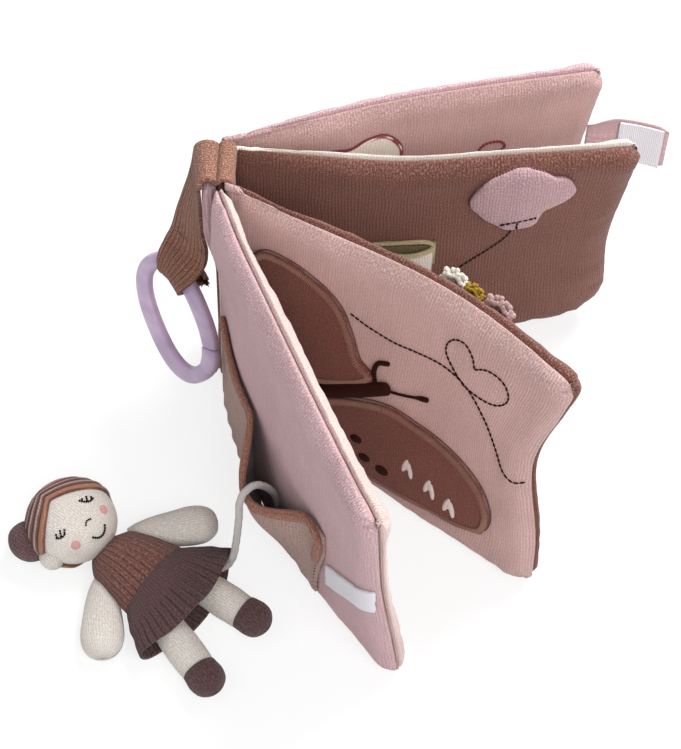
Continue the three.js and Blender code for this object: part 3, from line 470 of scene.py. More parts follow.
def ball(bm, place, axes, half, turns, rows):
    """Adds a ball with half sizes in mm along three axes."""
    turned = Matrix.Translation(place * MM) @ Matrix(axes).transposed().to_4x4()
    size = Matrix.Diagonal((*(value * MM for value in half), 1))
    bmesh.ops.create_uvsphere(bm, u_segments=turns, v_segments=rows, radius=1.0, matrix=turned @ size)


def stitches(name, runs, width, rise=0.5):
    """Short raised stitches; each is a start, an end and the direction that the cloth faces."""
    bm = bmesh.new()
    for start, end, face in runs:
        along = end - start
        length = max(along.length, 1e-3)
        x = along / length
        y = face.cross(x).normalized()
        ball(bm, (start + end) / 2, (x, y, x.cross(y)), (length / 2, width / 2, width * rise), 7, 5)
    return piece_of(bm, name)


# ---------------------------------------------------------------- the cord, first

CORD_DIAMETER = 3.2
CORD_ROUTE = [
    (25.3, -98.4, 20), (25.4, -98.5, 27), (24.6, -99.1, 34), (22.6, -100.6, 41), (19.8, -102.8, 47.2),
    (16.4, -105.4, 51.2), (12.7, -108.3, 50.4), (10.8, -110.3, 45.4), (10.5, -111.6, 38),
    (9.9, -113.2, 30), (9.1, -114.9, 22), (7.9, -116.4, 14.5), (5.4, -117.6, 9.2), (1.6, -118.3, 7.2),
]


def make_cord():
    path = smooth_path(CORD_ROUTE, 9)
    cord = tube(
        "doll_cord", path, CORD_DIAMETER / 2 * 0.97, sides=20, lobes=3, lobe_depth=0.05, twist=1.3,
        round_ends=False)
    cord.data.materials.append(CORD_COTTON.material)
    reach_of(path)[-1] * MM
    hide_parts("doll_tether")
    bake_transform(cord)


make_cord()


# ---------------------------------------------------------------- leaves

# Where the cloth rolls over at a seam: the distance from the edge, and the share of the full thickness there
SEAM_ROLL = [
    (3.0, 0.0), (2.1, 0.045), (1.2, 0.1), (0.55, 0.17), (0.16, 0.26), (0.0, 0.37), (0.1, 0.48), (0.45, 0.59),
    (1.1, 0.70), (2.1, 0.79), (3.5, 0.87), (5.4, 0.935), (8.0, 0.975), (11.0, 0.995),
]
SPINE_ROLL = [(0.0, 0.25), (0.5, 0.7), (1.4, 1.0)]
SPINE_TAPER = 46.0
PAD_HALF = 4.62
MORE_HALF = 0.85
SPINE_SHARE = 0.29
CELL = 2.0


def even(low, high, pitch):
    steps = max(1, round((high - low) / pitch))
    return [mix(low, high, i / steps) for i in range(steps + 1)]


class Leaf:
    """A padded leaf: two cloths sewn round three edges over wadding, and sewn to the spine.

    fore is how far the corners of the fore edge reach out, how far the edge pulls in between them, and where;
    crest is how far the top edge rises or sags, and where; corners are the lower and the upper one's radius.
    neck is how much fuller the wadding is beside the top of the spine, and shrug how far the cloth rises
    there.
    """

    def __init__(self, body, root, top, bottom, seed, fore, crest, corners, neck=0.0, shrug=0.0):
        self.body, self.root, self.top, self.bottom, self.seed = body, root, top, bottom, seed
        self.fore, self.crest, self.corners, self.neck, self.shrug = fore, crest, corners, neck, shrug
        full = SEAM_ROLL[-1][0] + 3
        self.columns = (
            SPINE_ROLL
            + [(s, 1.0) for s in even(3.0, LEAF_WIDTH - full, CELL)]
            + [(LEAF_WIDTH - place, share) for place, share in reversed(SEAM_ROLL)])
        self.rows = (
            list(SEAM_ROLL)
            + [(z, 1.0) for z in even(full, LEAF_HEIGHT - full, CELL)]
            + [(LEAF_HEIGHT - place, share) for place, share in reversed(SEAM_ROLL)])
        self.flat_s, self.flat_z = self.run_of(self.columns), self.run_of(self.rows)
        self.faces = {side: [[self.cloth_point(side, c, r) for c in self.columns] for r in self.rows]
                      for side in (-1, 1)}

    @staticmethod
    def run_of(ladder):
        """The way along the cloth to each step of a ladder, round its rolled edges too."""
        out = [ladder[0][0]]
        for (a, up_a), (b, up_b) in zip(ladder, ladder[1:]):
            out.append(out[-1] + math.hypot(b - a, (up_b - up_a) * PAD_HALF))
        return out

    def heading(self, s, z):
        share = s / LEAF_WIDTH
        return math.radians(mix(mix(*self.bottom, share), mix(*self.top, share), z / LEAF_HEIGHT))

    def normal(self, s, z):
        """The level direction that side 1 faces."""
        turn = self.heading(s, z)
        return Vector((-math.sin(turn), math.cos(turn), 0))

    def plan(self, ends, s):
        start = math.radians(ends[0])
        bend = math.radians(ends[1] - ends[0]) * s / LEAF_WIDTH
        chord = s if abs(bend) < 1e-9 else s * math.sin(bend / 2) / (bend / 2)
        turn = start + bend / 2
        return Vector((self.root[0] + chord * math.cos(turn), self.root[1] + chord * math.sin(turn), 0))

    def point(self, s, z, offset=0.0):
        low, high = self.plan(self.bottom, s), self.plan(self.top, s)
        place = low.lerp(high, z / LEAF_HEIGHT) + self.normal(s, z) * offset
        place.z = z
        return place

    def rounded(self, s, z):
        lower = z < LEAF_HEIGHT / 2
        radius = self.corners[0 if lower else 1]
        inward = radius - (LEAF_WIDTH - s)
        rise = radius - (z if lower else LEAF_HEIGHT - z)
        if inward <= 0 or rise <= 0:
            return s, z
        pull = max(inward, rise) / math.hypot(inward, rise)
        rise = radius - rise * pull
        return LEAF_WIDTH - radius + inward * pull, rise if lower else LEAF_HEIGHT - rise

    def drawn(self, s, z):
        """How far the seams pull the cloth there, along the leaf and up."""
        out, pull, middle, width = self.fore
        along = out - (out + pull) * math.exp(-((z - middle) / width) ** 2)
        rise, centre, reach = self.crest
        up = rise * math.exp(-((s - centre) / reach) ** 2)
        up += self.shrug * (1 - smooth_step(s / 30))
        return along * smooth_step((s - 88) / 77) ** 1.4, up * smooth_step((z - 66) / 56)

    def cloth_point(self, side, column, row):
        (s, along), (z, up) = column, row
        fullness = mix(SPINE_SHARE, 1.0, smooth_step(s / SPINE_TAPER))
        fullness += self.neck * smooth_step((z - 72) / 26) * (1 - smooth_step(s / SPINE_TAPER))
        share = min(along, up) * (0.75 + 0.25 * max(along, up))
        rim = 1.0 * math.exp(-((z - 115) / 8) ** 2) + 0.5 * math.exp(-((s - 157) / 8) ** 2)
        half = (PAD_HALF * fullness + (MORE_HALF + rim) * smooth_step((s - 14) / 40)) * share
        edge = min(LEAF_WIDTH - s, z, LEAF_HEIGHT - z)
        run = z if edge == LEAF_WIDTH - s else s
        wave = math.sin(run * TURN / 9.0 + 5.0 * ripple(run, self.seed, 17, side))
        gather = wave * math.exp(-edge / 5.0) * 0.16
        soft = ripple(s, z, 34, self.seed + side) * 0.9 + ripple(s, z, 13, self.seed + 5 * side) * 0.22
        soft += ripple(s * 0.35 + z * 0.25, z - s * 0.2, 11, self.seed + 3 * side) * 1.1 * math.exp(-s / 45)
        puckers = ripple(run, 0, 4.5, self.seed + 9 * side) * 0.5 + ripple(run, 3, 9, self.seed) * 0.5
        soft += puckers * math.exp(-((edge - 7) / 6) ** 2) * 0.7
        half += share * fullness * (gather + soft)
        pull_s, pull_z = self.drawn(s, z)
        s, z = self.rounded(s, z)
        return self.point(s + pull_s, max(0.0, z + pull_z), side * half)

    def cell(self, ladder, value):
        """The index of the step of the ladder that holds a value, away from the rolled edges."""
        low = next(i for i, (place, share) in enumerate(ladder) if share >= 0.4)
        high = len(ladder) - 2 - next(i for i, (place, share) in enumerate(reversed(ladder)) if share >= 0.4)
        places = [place for place, _ in ladder[low:high + 2]]
        i = int(clamp(bisect_right(places, value) - 1, 0, len(places) - 2))
        return low + i, clamp((value - places[i]) / (places[i + 1] - places[i]), -0.5, 1.5)

    def on(self, s, z, lift=0.0, side=-1):
        """The point on one face's cloth, lifted off it, and the direction that the cloth faces there."""
        true_s, true_z = s, z
        for _ in range(3):
            pull_s, pull_z = self.drawn(s, z)
            s, z = true_s - pull_s, true_z - pull_z
        j, ts = self.cell(self.columns, s)
        i, tz = self.cell(self.rows, z)
        face = self.faces[side]
        low = face[i][j].lerp(face[i][j + 1], ts)
        high = face[i + 1][j].lerp(face[i + 1][j + 1], ts)
        along = (face[i][j + 1] - face[i][j]).lerp(face[i + 1][j + 1] - face[i + 1][j], tz)
        out = (high - low).cross(along).normalized() * side
        return low.lerp(high, tz) + out * lift, out

    def cloth(self, side, name, finish, nodes, slot, fill):
        columns, rows = len(self.columns) - 1, len(self.rows) - 1
        face = self.faces[side]

        def place(u, v):
            return face[round(v * rows)][round(u * columns)]

        def flat(u, v):
            return (self.flat_s[round(u * columns)] * side, self.flat_z[round(v * rows)])

        outward = self.normal(LEAF_WIDTH / 2, LEAF_HEIGHT / 2) * side
        piece = grid_piece(name, columns, rows, place, flat, outward=outward)
        thicken(piece, 0.9)
        return settle(piece, self.body, finish, *nodes, slot=slot, fill=fill)


FRONT_COVER = Leaf(
    "front_cover", (-1.5, -15), top=(-67, -66), bottom=(-76, -47), seed=1.0, fore=(2.8, 1.5, 68, 34),
    crest=(1.6, 160, 26), corners=(9, 7), neck=0.75, shrug=3.6)
FIRST_PAGE = Leaf(
    "first_page", (1, -11.3), top=(-21, -47), bottom=(-45, -32), seed=2.0, fore=(3.0, 8.0, 70, 32),
    crest=(4.2, 112, 50), corners=(9, 7), neck=0.35, shrug=3.0)
SECOND_PAGE = Leaf(
    "second_page", (1, 11.3), top=(-1, 8), bottom=(-3, 19), seed=3.0, fore=(3.8, 1.0, 60, 34),
    crest=(-3.6, 72, 34), corners=(24, 7))
BACK_COVER = Leaf(
    "back_cover", (-1.5, 15), top=(24, 11), bottom=(22, 20), seed=4.0, fore=(1.2, 3.2, 62, 34),
    crest=(1.0, 70, 40), corners=(9, 9))

SIM_SCALE = 20.0
SIM_PITCH = 2
SIM_FRAMES = 20
SIM_PRESSURE = 4.0
SIM_SPARE_CLOTH = 0.03
SIM_CAP = 1.6
SIM_EASE = 1.0
SIM_EASE_BETWEEN = 1.8
SIM_FREE_CORNER = 12


def run_case(places, quads, sewn):
    """How far each point of a sewn case moves in its cloth simulation, in mm."""
    mesh = bpy.data.meshes.new("case")
    mesh.from_pydata(places, [], quads)
    bm = bmesh.new()
    bm.from_mesh(mesh)
    bmesh.ops.recalc_face_normals(bm, faces=bm.faces)
    bm.to_mesh(mesh)
    bm.free()
    case = bpy.data.objects.new("case", mesh)
    bpy.context.scene.collection.objects.link(case)
    case.vertex_groups.new(name="sewn").add(sewn, 1.0, "REPLACE")
    cloth = case.modifiers.new("cloth", "CLOTH")
    cloth.point_cache.frame_start, cloth.point_cache.frame_end = 1, SIM_FRAMES
    settings = cloth.settings
    settings.quality = 6
    settings.vertex_group_mass = "sewn"
    settings.use_pressure = True
    settings.uniform_pressure_force = SIM_PRESSURE
    settings.shrink_min = -SIM_SPARE_CLOTH
    settings.effector_weights.gravity = 0.0
    for number in range(1, SIM_FRAMES + 1):
        bpy.context.scene.frame_set(number)
    settled = case.evaluated_get(bpy.context.evaluated_depsgraph_get()).to_mesh()
    moves = [(vert.co - place) / (MM * SIM_SCALE) for vert, place in zip(settled.vertices, places)]
    bpy.data.objects.remove(case)
    bpy.data.meshes.remove(mesh)
    bpy.context.scene.frame_set(1)
    return moves


def bracket(marks, value):
    """The marks on both sides of a value, and its share of the way between them."""
    k = min(bisect_right(marks, value), len(marks) - 1)
    return marks[k - 1], marks[k], (value - marks[k - 1]) / (marks[k] - marks[k - 1])


def settle_cloth(leaf, facing):
    """Lets a leaf's two cloths find their folds over the wadding: a short cloth simulation of the sewn case,
    with the seams held, a little spare cloth and air pressure for the wadding. The case is simulated larger
    than it is, and each point may move by SIM_CAP at most, and less near a seam. Each face then sinks by
    SIM_EASE, and the one that the leaf can close on, facing, by SIM_EASE_BETWEEN, so that the leaves still
    have room to turn."""
    columns, rows = len(leaf.columns), len(leaf.rows)
    across = list(range(0, columns - 1, SIM_PITCH)) + [columns - 1]
    upward = list(range(0, rows - 1, SIM_PITCH)) + [rows - 1]
    index, places, sewn, caps = {}, [], [], []
    for side in (-1, 1):
        for i in upward:
            for j in across:
                (s, along), (z, up) = leaf.columns[j], leaf.rows[i]
                seam = i in (0, rows - 1) or j == columns - 1
                corner = (s > LEAF_WIDTH - SIM_FREE_CORNER
                          and not SIM_FREE_CORNER < z < LEAF_HEIGHT - SIM_FREE_CORNER)
                if side == 1 and seam:
                    index[side, i, j] = index[-1, i, j]
                    continue
                if (seam and not corner) or s < 2:
                    sewn.append(len(places))
                caps.append(SIM_CAP * mix(0.25, 1.0, smooth_step(min(along, up) / 0.8)))
                index[side, i, j] = len(places)
                places.append(leaf.faces[side][i][j] * MM * SIM_SCALE)
    quads = []
    for i, above in zip(upward, upward[1:]):
        for side in (-1, 1):
            for j, ahead in zip(across, across[1:]):
                quads.append([index[side, a, b] for a, b in ((i, j), (i, ahead), (above, ahead), (above, j))])
        root = [index[-1, i, 0], index[-1, above, 0], index[1, above, 0], index[1, i, 0]]
        if len(set(root)) > 2:
            quads.append(list(dict.fromkeys(root)))
    free = run_case(places, quads, sewn)
    moves = [move * min(1.0, cap / max(move.length, 1e-6)) for move, cap in zip(free, caps)]
    for side in (-1, 1):
        sink = SIM_EASE_BETWEEN if side == facing else SIM_EASE
        for i, (z, up) in enumerate(leaf.rows):
            low, high, v = bracket(upward, i)
            for j, (s, along) in enumerate(leaf.columns):
                near, far, u = bracket(across, j)
                below = moves[index[side, low, near]].lerp(moves[index[side, low, far]], u)
                above = moves[index[side, high, near]].lerp(moves[index[side, high, far]], u)
                ease = leaf.normal(s, z) * side * sink * smooth_step(min(along, up) / 0.8)
                point = leaf.faces[side][i][j]
                point += below.lerp(above, v) - ease
                point.z = max(0.0, point.z)


for leaf, facing in ((FRONT_COVER, 1), (FIRST_PAGE, -1), (SECOND_PAGE, 1), (BACK_COVER, -1)):
    settle_cloth(leaf, facing)

for leaf, side, part, finish, with_wadding in [
    (FRONT_COVER, -1, "front_cover_outer", COVER_KNIT, False),
    (FRONT_COVER, 1, "front_cover_lining", LINING_KNIT, True),
    (FIRST_PAGE, -1, "first_page_front", PINK_KNIT, False),
    (FIRST_PAGE, 1, "first_page_back", BROWN_KNIT, True),
    (SECOND_PAGE, -1, "second_page_front", BROWN_KNIT, False),
    (SECOND_PAGE, 1, "second_page_back", CREAM_KNIT, True),
    (BACK_COVER, -1, "back_cover_lining", INNER_KNIT, True),
    (BACK_COVER, 1, "back_cover_outer", COVER_KNIT, False),
]:
    nodes = [part + "_panel"] + ([leaf.body + "_wadding"] if with_wadding else [])
    leaf.cloth(side, part + "_cloth", finish, nodes, part + "_panel", 0.6)


# ---------------------------------------------------------------- spine and strap

def slab(name, box_low, high, bulge, finish, node):
    """A soft upright band that fills a box, gently rounded on its faces and edges; bulge(z) moves its
    outside."""
    high = Vector(high)

    def place(u, v):
        angle = u * TURN
        z = mix(box_low[2], high.z, v)
        low = Vector(box_low) + Vector((bulge(z), 0, 0))
        size = high - low
        wave = 1 + 0.05 * ripple(angle * 8, z, 16, high.x)
        end = math.sqrt(max(0.0, 1 - (2 * abs(v - 0.5)) ** 16)) * 0.3 + 0.7
        return Vector((
            (low.x + high.x) / 2 + power(math.cos(angle), 0.35) * size.x / 2 * end * wave,
            (low.y + high.y) / 2 + power(math.sin(angle), 0.35) * size.y / 2 * end, z))

    piece = grid_piece(name, 48, 60, place, lambda u, v: (u * 48, v * 122), wrap=True)
    settle(piece, "spine", finish, node, fill=0.4)


def fold_roll(name, place_xy, node, half):
    """The sewn fold beside the spine, a flat roll that the leaves turn about."""
    def radius(share):
        return half + 0.12 * math.sin(share * 122 * TURN / 3.4)
    path = [Vector((*place_xy, mix(2.4, 120.4, i / 120))) for i in range(121)]
    roll = tube(name, path, radius, sides=16, normals=[Vector((1, 0, 0))] * len(path), flat=0.45)
    return settle(roll, "spine", BROWN_KNIT, node, fill=0.8)


def spine_bulge(z):
    return mix(1.6 * smooth_step(z / 40), -3.3, smooth_step((z - 72) / 26))


slab("spine_cover_cloth", (-5.9, -13.0, 0.0), (-3.3, 13.0, 120.0), spine_bulge, COVER_KNIT, "spine_cover")
slab("spine_lining_cloth", (-3.0, -9.4, 0.0), (0.7, 9.4, 119.5), lambda z: 0.0, BROWN_KNIT, "spine_lining")
fold_roll("front_fold_roll", (-1.5, -13.3), "front_fold_seam", 2.45)
fold_roll("back_fold_roll", (-1.5, 13.2), "back_fold_seam", 2.1)

STRAP_WIDTH = 23.0
STRAP_THICKNESS = 2.4
RING_HALF_LENGTH, RING_HALF_WIDTH = 29.7, 17.0
RING_BAR_WIDTH, RING_BAR_THICKNESS = 7.6, 6.0
RING_CENTRE = Vector((-21, -17, 45))
RING_TURN = (
    Matrix.Rotation(math.radians(-126.2), 3, "X") @ Matrix.Rotation(math.radians(33.7), 3, "Y")
    @ Matrix.Rotation(math.radians(59.8), 3, "Z"))
RING_SQUARENESS = 2.4
SLEEVE_SHARE = 0.645
SPLIT_SHARE = 0.86
SPLIT_GAP = 0.4
SLEEVE_RADIUS = 6.9
SLEEVE_SHIFT = 1.85


def ring_point(share, sideways=0.0, across=0.0):
    """A place in the ring's bar, by its share of the way round and how far out and up it is."""
    angle, bend = share * TURN, 2 / RING_SQUARENESS
    return RING_CENTRE + RING_TURN @ Vector((
        (RING_HALF_LENGTH - RING_BAR_WIDTH / 2 + sideways) * power(math.cos(angle), bend),
        (RING_HALF_WIDTH - RING_BAR_WIDTH / 2 + sideways) * power(math.sin(angle), bend), across))


def make_ring():
    round_it = TURN * (RING_HALF_LENGTH + RING_HALF_WIDTH) / 2
    split = SPLIT_GAP / round_it

    def place(u, v):
        share = SPLIT_SHARE + split / 2 + (1 - split) * v
        angle = u * TURN
        end = min(v, 1 - v) * round_it
        collar = 0.3 * smooth_step((13 - v * round_it) / 1.2)
        shrink = 1 - 0.14 * (1 - smooth_step(end / 0.9))
        a = power(math.cos(angle), 0.72) * (RING_BAR_WIDTH / 2 - 0.15 + collar) * shrink
        b = power(math.sin(angle), 0.72) * (RING_BAR_THICKNESS / 2 - 0.15 + collar) * shrink
        return ring_point(share, a, b)

    ring = grid_piece("link_ring_bar", 28, 220, place, lambda u, v: (u * 24, v * round_it), wrap=True)
    settle(ring, "link_ring", RING_PLASTIC, "link_ring")


make_ring()


def strap_top():
    """The rib band over the top of the spine: an outer fold and an inner one, sewn down between them."""
    corners = [
        (2.2, 106.8), (2.3, 113), (2.7, 118.5), (3.3, 122.2), (1.9, 125.0), (-0.8, 125.4), (-2.9, 123.2),
        (-5.2, 124.9), (-8.8, 125.3), (-12.1, 122.9), (-12.9, 119.0),
    ]
    path = smooth_path([(x, 0, z) for x, z in corners], 6)
    rows = len(path) - 1

    def place(u, v):
        point = path[round(v * rows)]
        width = mix(17.5, STRAP_WIDTH, smooth_step((point.z - 112) / 12)) if point.x > 0 else STRAP_WIDTH
        y = 0.5 + (u - 0.5) * (width - 1.6)
        sag = 0.35 * ripple(point.x, y, 5, 3.1)
        x = point.x if point.x > -3 else -3 + (point.x + 3) * mix(0.68, 1.0, u)
        return Vector((x, y, point.z - sag))

    band = grid_piece(
        "strap_top_band", 40, rows, place, lambda u, v: (u * STRAP_WIDTH, v * 46),
        outward=Vector((-0.3, 0, 1)))
    thicken(band, STRAP_THICKNESS - 0.3, 0.0)
    soft = band.modifiers.new("soft", "SUBSURF")
    soft.levels = soft.render_levels = 1
    settle(band, "spine", STRAP_TOP_KNIT, "strap_top", fill=0.3)


STRAP_EDGES = [
    ((-9.8, -11.4, 120.0), (-12.9, 11.9, 119.5)), ((-9.6, -11.6, 114), (-13.9, 10.2, 114)),
    ((-9.6, -11.9, 105), (-16.4, 7.2, 105)), ((-9.2, -12.1, 94), (-20.0, 4.8, 94)),
    ((-7.8, -12.0, 83), (-23.0, 3.2, 83)), ((-8.6, -12.7, 74.5), (-26.2, 2.4, 75.5)),
]


def strap_loop():
    """The hanging band: it goes down, round the ring and back up to its seam."""

    def path_at(share):
        a = share - 0.5
        centre = ring_point(SLEEVE_SHARE - a * 0.13, SLEEVE_SHIFT)
        ahead = (ring_point(SLEEVE_SHARE - a * 0.13 - 0.01, SLEEVE_SHIFT) - centre).normalized()
        corners = [Vector(front).lerp(Vector(back), share) for front, back in STRAP_EDGES]
        rise = corners[-1] - centre
        rise = (rise - ahead * rise.dot(ahead)).normalized()
        out = ahead.cross(rise)
        if out.y > 0:
            out = -out
        for degrees, reach in zip(
                (30, 58, 90, 125, 160, 200, 240, 280, 315, 338), (1.2, 1.02, 1, 1, 1, 1, 1, 1, 1, 1.02)):
            turn = math.radians(degrees)
            corners.append(centre + (rise * math.cos(turn) + out * math.sin(turn)) * SLEEVE_RADIUS * reach)
        return smooth_path(corners, 6)

    wide = 36
    paths = [path_at(i / wide) for i in range(wide + 1)]
    rows = len(paths[0]) - 1

    def place(u, v):
        point = paths[round(u * wide)][round(v * rows)]
        wave = 0.45 * math.sin(u * 9 + v * 5) * math.sin(min(1, v * 2) * math.pi)
        return point + Vector((0.3 * ripple(u * 20, v * 90, 5, 7.7), wave, 0))

    band = grid_piece(
        "strap_loop_band", wide, rows, place, lambda u, v: (u * STRAP_WIDTH, v * 110),
        outward=Vector((-0.6, -1, 0.2)))
    thicken(band, STRAP_THICKNESS - 0.9, 0.0)
    settle(band, "strap_loop", STRAP_KNIT, "strap_loop", fill=0.3)

    seam, fray = [], []
    first = rows - 65
    for k in range(0, wide, 2):
        a, b = paths[k][first], paths[min(wide, k + 1)][first]
        face = (paths[k][first + 1] - a).cross(b - a).normalized()
        if face.y > 0:
            face = -face
        seam.append((a + face, b + face, face))
    settle(stitches("strap_seam", seam, 0.9), "strap_loop", TAN_THREAD, slot="strap_loop")
    for k in range(26):
        droop = Vector((0.6 * math.sin(k * 2.1), -1.2 - 0.5 * math.cos(k * 1.7), 0))
        start = paths[k % 6][rows - 6 + (k * 5) % 7] + droop
        lean = Vector((
            math.sin(k * 1.3) * 1.6, -1.2 + math.cos(k * 2.3) * 0.7, -2.2 - 1.1 * math.sin(k * 0.9)))
        fray.append((start, start + lean, Vector((0, -1, 0.3)).normalized()))
    settle(stitches("strap_fray", fray, 0.55), "strap_loop", DARK_THREAD, slot="strap_loop")


strap_top()
strap_loop()


# ---------------------------------------------------------------- pocket, strip and tab

POCKET_START, POCKET_END, POCKET_BASE, POCKET_TOP = 13.0, 128.0, 8.54, 61.0
MOUTH_START, MOUTH_END, MOUTH_BOW, MOUTH_SAG = 62.0, 119.0, 13.0, 14.5
PAGE_POCKET_START, PAGE_POCKET_END, PAGE_POCKET_BASE, PAGE_POCKET_TOP = 61, 84.6, 38, 67.5
HOOK_STRIP = [Vector(corner) for corner in ((128.5, 26.5), (162.5, 51.5), (129.5, 42), (163, 66.5))]
HOOK_STRIP_LENGTH, HOOK_STRIP_WIDTH = 28, 16
TAB_REACH, TAB_MIDDLE, TAB_START, TAB_BEND = 34, 75, math.radians(2), math.radians(-24)
PATCH_LENGTH, PATCH_WIDTH = 19, 21


def two_sided_sheet(cloth, thickness, body, finish, inner_layer, node):
    """A pocket's cloth with a second finish inside it: the page pocket's lining, the cover pocket's painted
    shade.
    """
    thicken(cloth, thickness, 0.0).modifiers["wall"].material_offset = 1
    settle(cloth, body, finish, node)
    cloth.data.materials.append(inner_layer.material)


def bow_share(s):
    return max(0.0, math.sin(math.pi * clamp((s - MOUTH_START) / (MOUTH_END - MOUTH_START)))) ** 1.5


def pocket_rim(s):
    return POCKET_TOP - MOUTH_SAG * bow_share(s)


def pocket_lift(s, z):
    rise = math.sin(clamp((z - POCKET_BASE) / (pocket_rim(s) - POCKET_BASE)) * math.pi / 2)
    fullness = math.sin(clamp((s - POCKET_START) / (POCKET_END - POCKET_START)) * math.pi)
    return 0.7 + rise * (MOUTH_BOW * bow_share(s) + 1.5 * fullness)


def make_pocket():
    leaf = FRONT_COVER

    def spot(u, v):
        s = mix(POCKET_START, POCKET_END, u)
        z = mix(POCKET_BASE, pocket_rim(s), v)
        return s - 7 * smooth_step((u - 0.7) / 0.3) * smooth_step((50 - z) / 34), z

    def place(u, v):
        s, z = spot(u, v)
        lift = pocket_lift(s, z) + 0.35 * (1 - v) * math.sin(s * TURN / 9) * math.exp(-(z - POCKET_BASE) / 8)
        return leaf.on(s, z, lift + 0.4 * ripple(s, z, 14, 9.0))[0]

    cloth = grid_piece("cover_pocket_cloth", 78, 34, place, spot, outward=leaf.on(70, 40)[1])
    # the pocket's inside face is dark brown: painted shade for the deep shadow in the pocket
    two_sided_sheet(
        cloth, 1.3, "front_cover", POCKET_KNIT, POCKET_PAINTED_SHADE, "cover_pocket_panel")

    bend = POCKET_END - 8.5
    rim = [(s, pocket_rim(s)) for s in even(POCKET_START + 1, bend, 1.6)]
    corner = [(bend + 6.5 * math.sin(t), 54.5 + 6.5 * math.cos(t)) for t in even(0.1, math.pi / 2, 0.2)]
    edge = [(POCKET_END - 2 - 5 * smooth_step((52 - z) / 18) ** 2, z) for z in even(53, 37, 1.8)]
    laid = []
    for s, z in rim + corner + edge:
        lift = pocket_lift(s, min(z, pocket_rim(s))) + 0.6
        if s > MOUTH_END - 2:
            lift += 1.2 * math.exp(-((s - 123) / 5) ** 2) * smooth_step((z - 44) / 10)
        laid.append(leaf.on(s, z - 1.4 if s <= bend else z, lift))
    binding = tube_on(
        "cover_pocket_binding_roll", laid, lambda share: 1.45 + 0.14 * math.sin(share * 410), sides=20,
        flat=1.75)
    settle(binding, "front_cover", BINDING_KNIT, "cover_pocket_binding", fill=0.5)


def tape_strip(name, body, place, flat, node, outward, thickness):
    strip = grid_piece(name, 40, 24, place, flat, outward=outward)
    thicken(strip, thickness, 1.0)
    settle(strip, body, HOOK_TAPE, node)


def from_edge(u, v, length, width):
    """How far a place in a strip is from its nearest edge, in mm."""
    return min(u * length, (1 - u) * length, v * width, (1 - v) * width)


def make_hook_strip():
    leaf = FRONT_COVER

    def spot(u, v):
        low_start, low_end, high_start, high_end = HOOK_STRIP
        return tuple(low_start.lerp(low_end, u).lerp(high_start.lerp(high_end, u), v))

    def place(u, v):
        s, z = spot(u, v)
        s += 0.35 * ripple(v * HOOK_STRIP_WIDTH, 1, 4) * (1 if u > 0.5 else -1)
        z += 0.3 * ripple(u * HOOK_STRIP_LENGTH, v * 3, 5)
        edge = from_edge(u, v, HOOK_STRIP_LENGTH, HOOK_STRIP_WIDTH)
        return leaf.on(s, z, 0.35 - 0.25 * math.exp(-edge / 1.2))[0]

    tape_strip("hook_strip_tape", "front_cover", place, spot, "hook_strip", leaf.on(145, 45)[1], 1.2)


TAB_ROOT = BACK_COVER.point(LEAF_WIDTH, TAB_MIDDLE)


def tab_point(along, z, offset):
    bend = TAB_BEND * along / TAB_REACH
    heading = TAB_START + bend / 2
    return Vector((
        TAB_ROOT.x + 0.3 + along * math.cos(heading) - offset * math.sin(TAB_START + bend),
        TAB_ROOT.y + along * math.sin(heading) + offset * math.cos(TAB_START + bend), z))


def make_tab():
    def place(u, v):
        angle = u * TURN
        along = mix(-1.5, TAB_REACH, v)
        end = math.sqrt(max(0.0, 1 - smooth_step((along - 30) / 4.4) ** 2))
        half = mix(7.6, 12.3, smooth_step((along + 1) / 14)) - 1.2 * smooth_step((along - 26) / 8) ** 2
        z = TAB_MIDDLE + power(math.cos(angle), 0.5) * half * (0.94 + 0.06 * end)
        pinch = mix(0.4, 1, clamp(along / 5))
        offset = power(math.sin(angle), 0.6) * (0.2 + 0.85 * end) * pinch
        return tab_point(along, z, offset + 0.25 * ripple(along, z, 8, 2))

    tab = grid_piece("closing_tab_cloth", 48, 36, place, lambda u, v: (u * 50, v * TAB_REACH), wrap=True)
    settle(tab, "tab", COVER_KNIT, "closing_tab", fill=0.3)

    def patch(u, v):
        along, z = mix(12.5, 32.2, u), mix(64.0, 86.6, v)
        edge = from_edge(u, v, PATCH_LENGTH, PATCH_WIDTH)
        return tab_point(along + 0.2 * ripple(z, 1, 3), z, -1.45 + 0.3 * math.exp(-edge))

    tape_strip(
        "tab_hook_tape", "tab", patch, lambda u, v: (PATCH_LENGTH * u, PATCH_WIDTH * v), "tab_hook_patch",
        Vector((-0.1, -1, 0)), 0.9)


def pocket_seams():
    """The stitches that hold the pocket's right side, and the line under its bound rim."""
    runs = []
    for z in even(12, 50, 3.1):
        s = POCKET_END - 2 - 5.5 * smooth_step((50 - z) / 34)
        start, face = FRONT_COVER.on(s - 1.4, z, 1.9)
        runs.append((start, FRONT_COVER.on(s + 1.0, z + 0.8, 0.25)[0], face))
    for s in even(POCKET_START + 2, MOUTH_START - 2, 2.2):
        z = pocket_rim(s) - 4.6
        lift = pocket_lift(s, z) + 0.75
        start, face = FRONT_COVER.on(s, z, lift)
        runs.append((start, FRONT_COVER.on(s + 1.6, z, lift)[0], face))
    settle(
        stitches("cover_pocket_stitches", runs, 0.55), "front_cover", SHADE_THREAD,
        slot="cover_pocket_binding")


make_pocket()
pocket_seams()
make_hook_strip()
make_tab()


# ---------------------------------------------------------------- sewn pictures

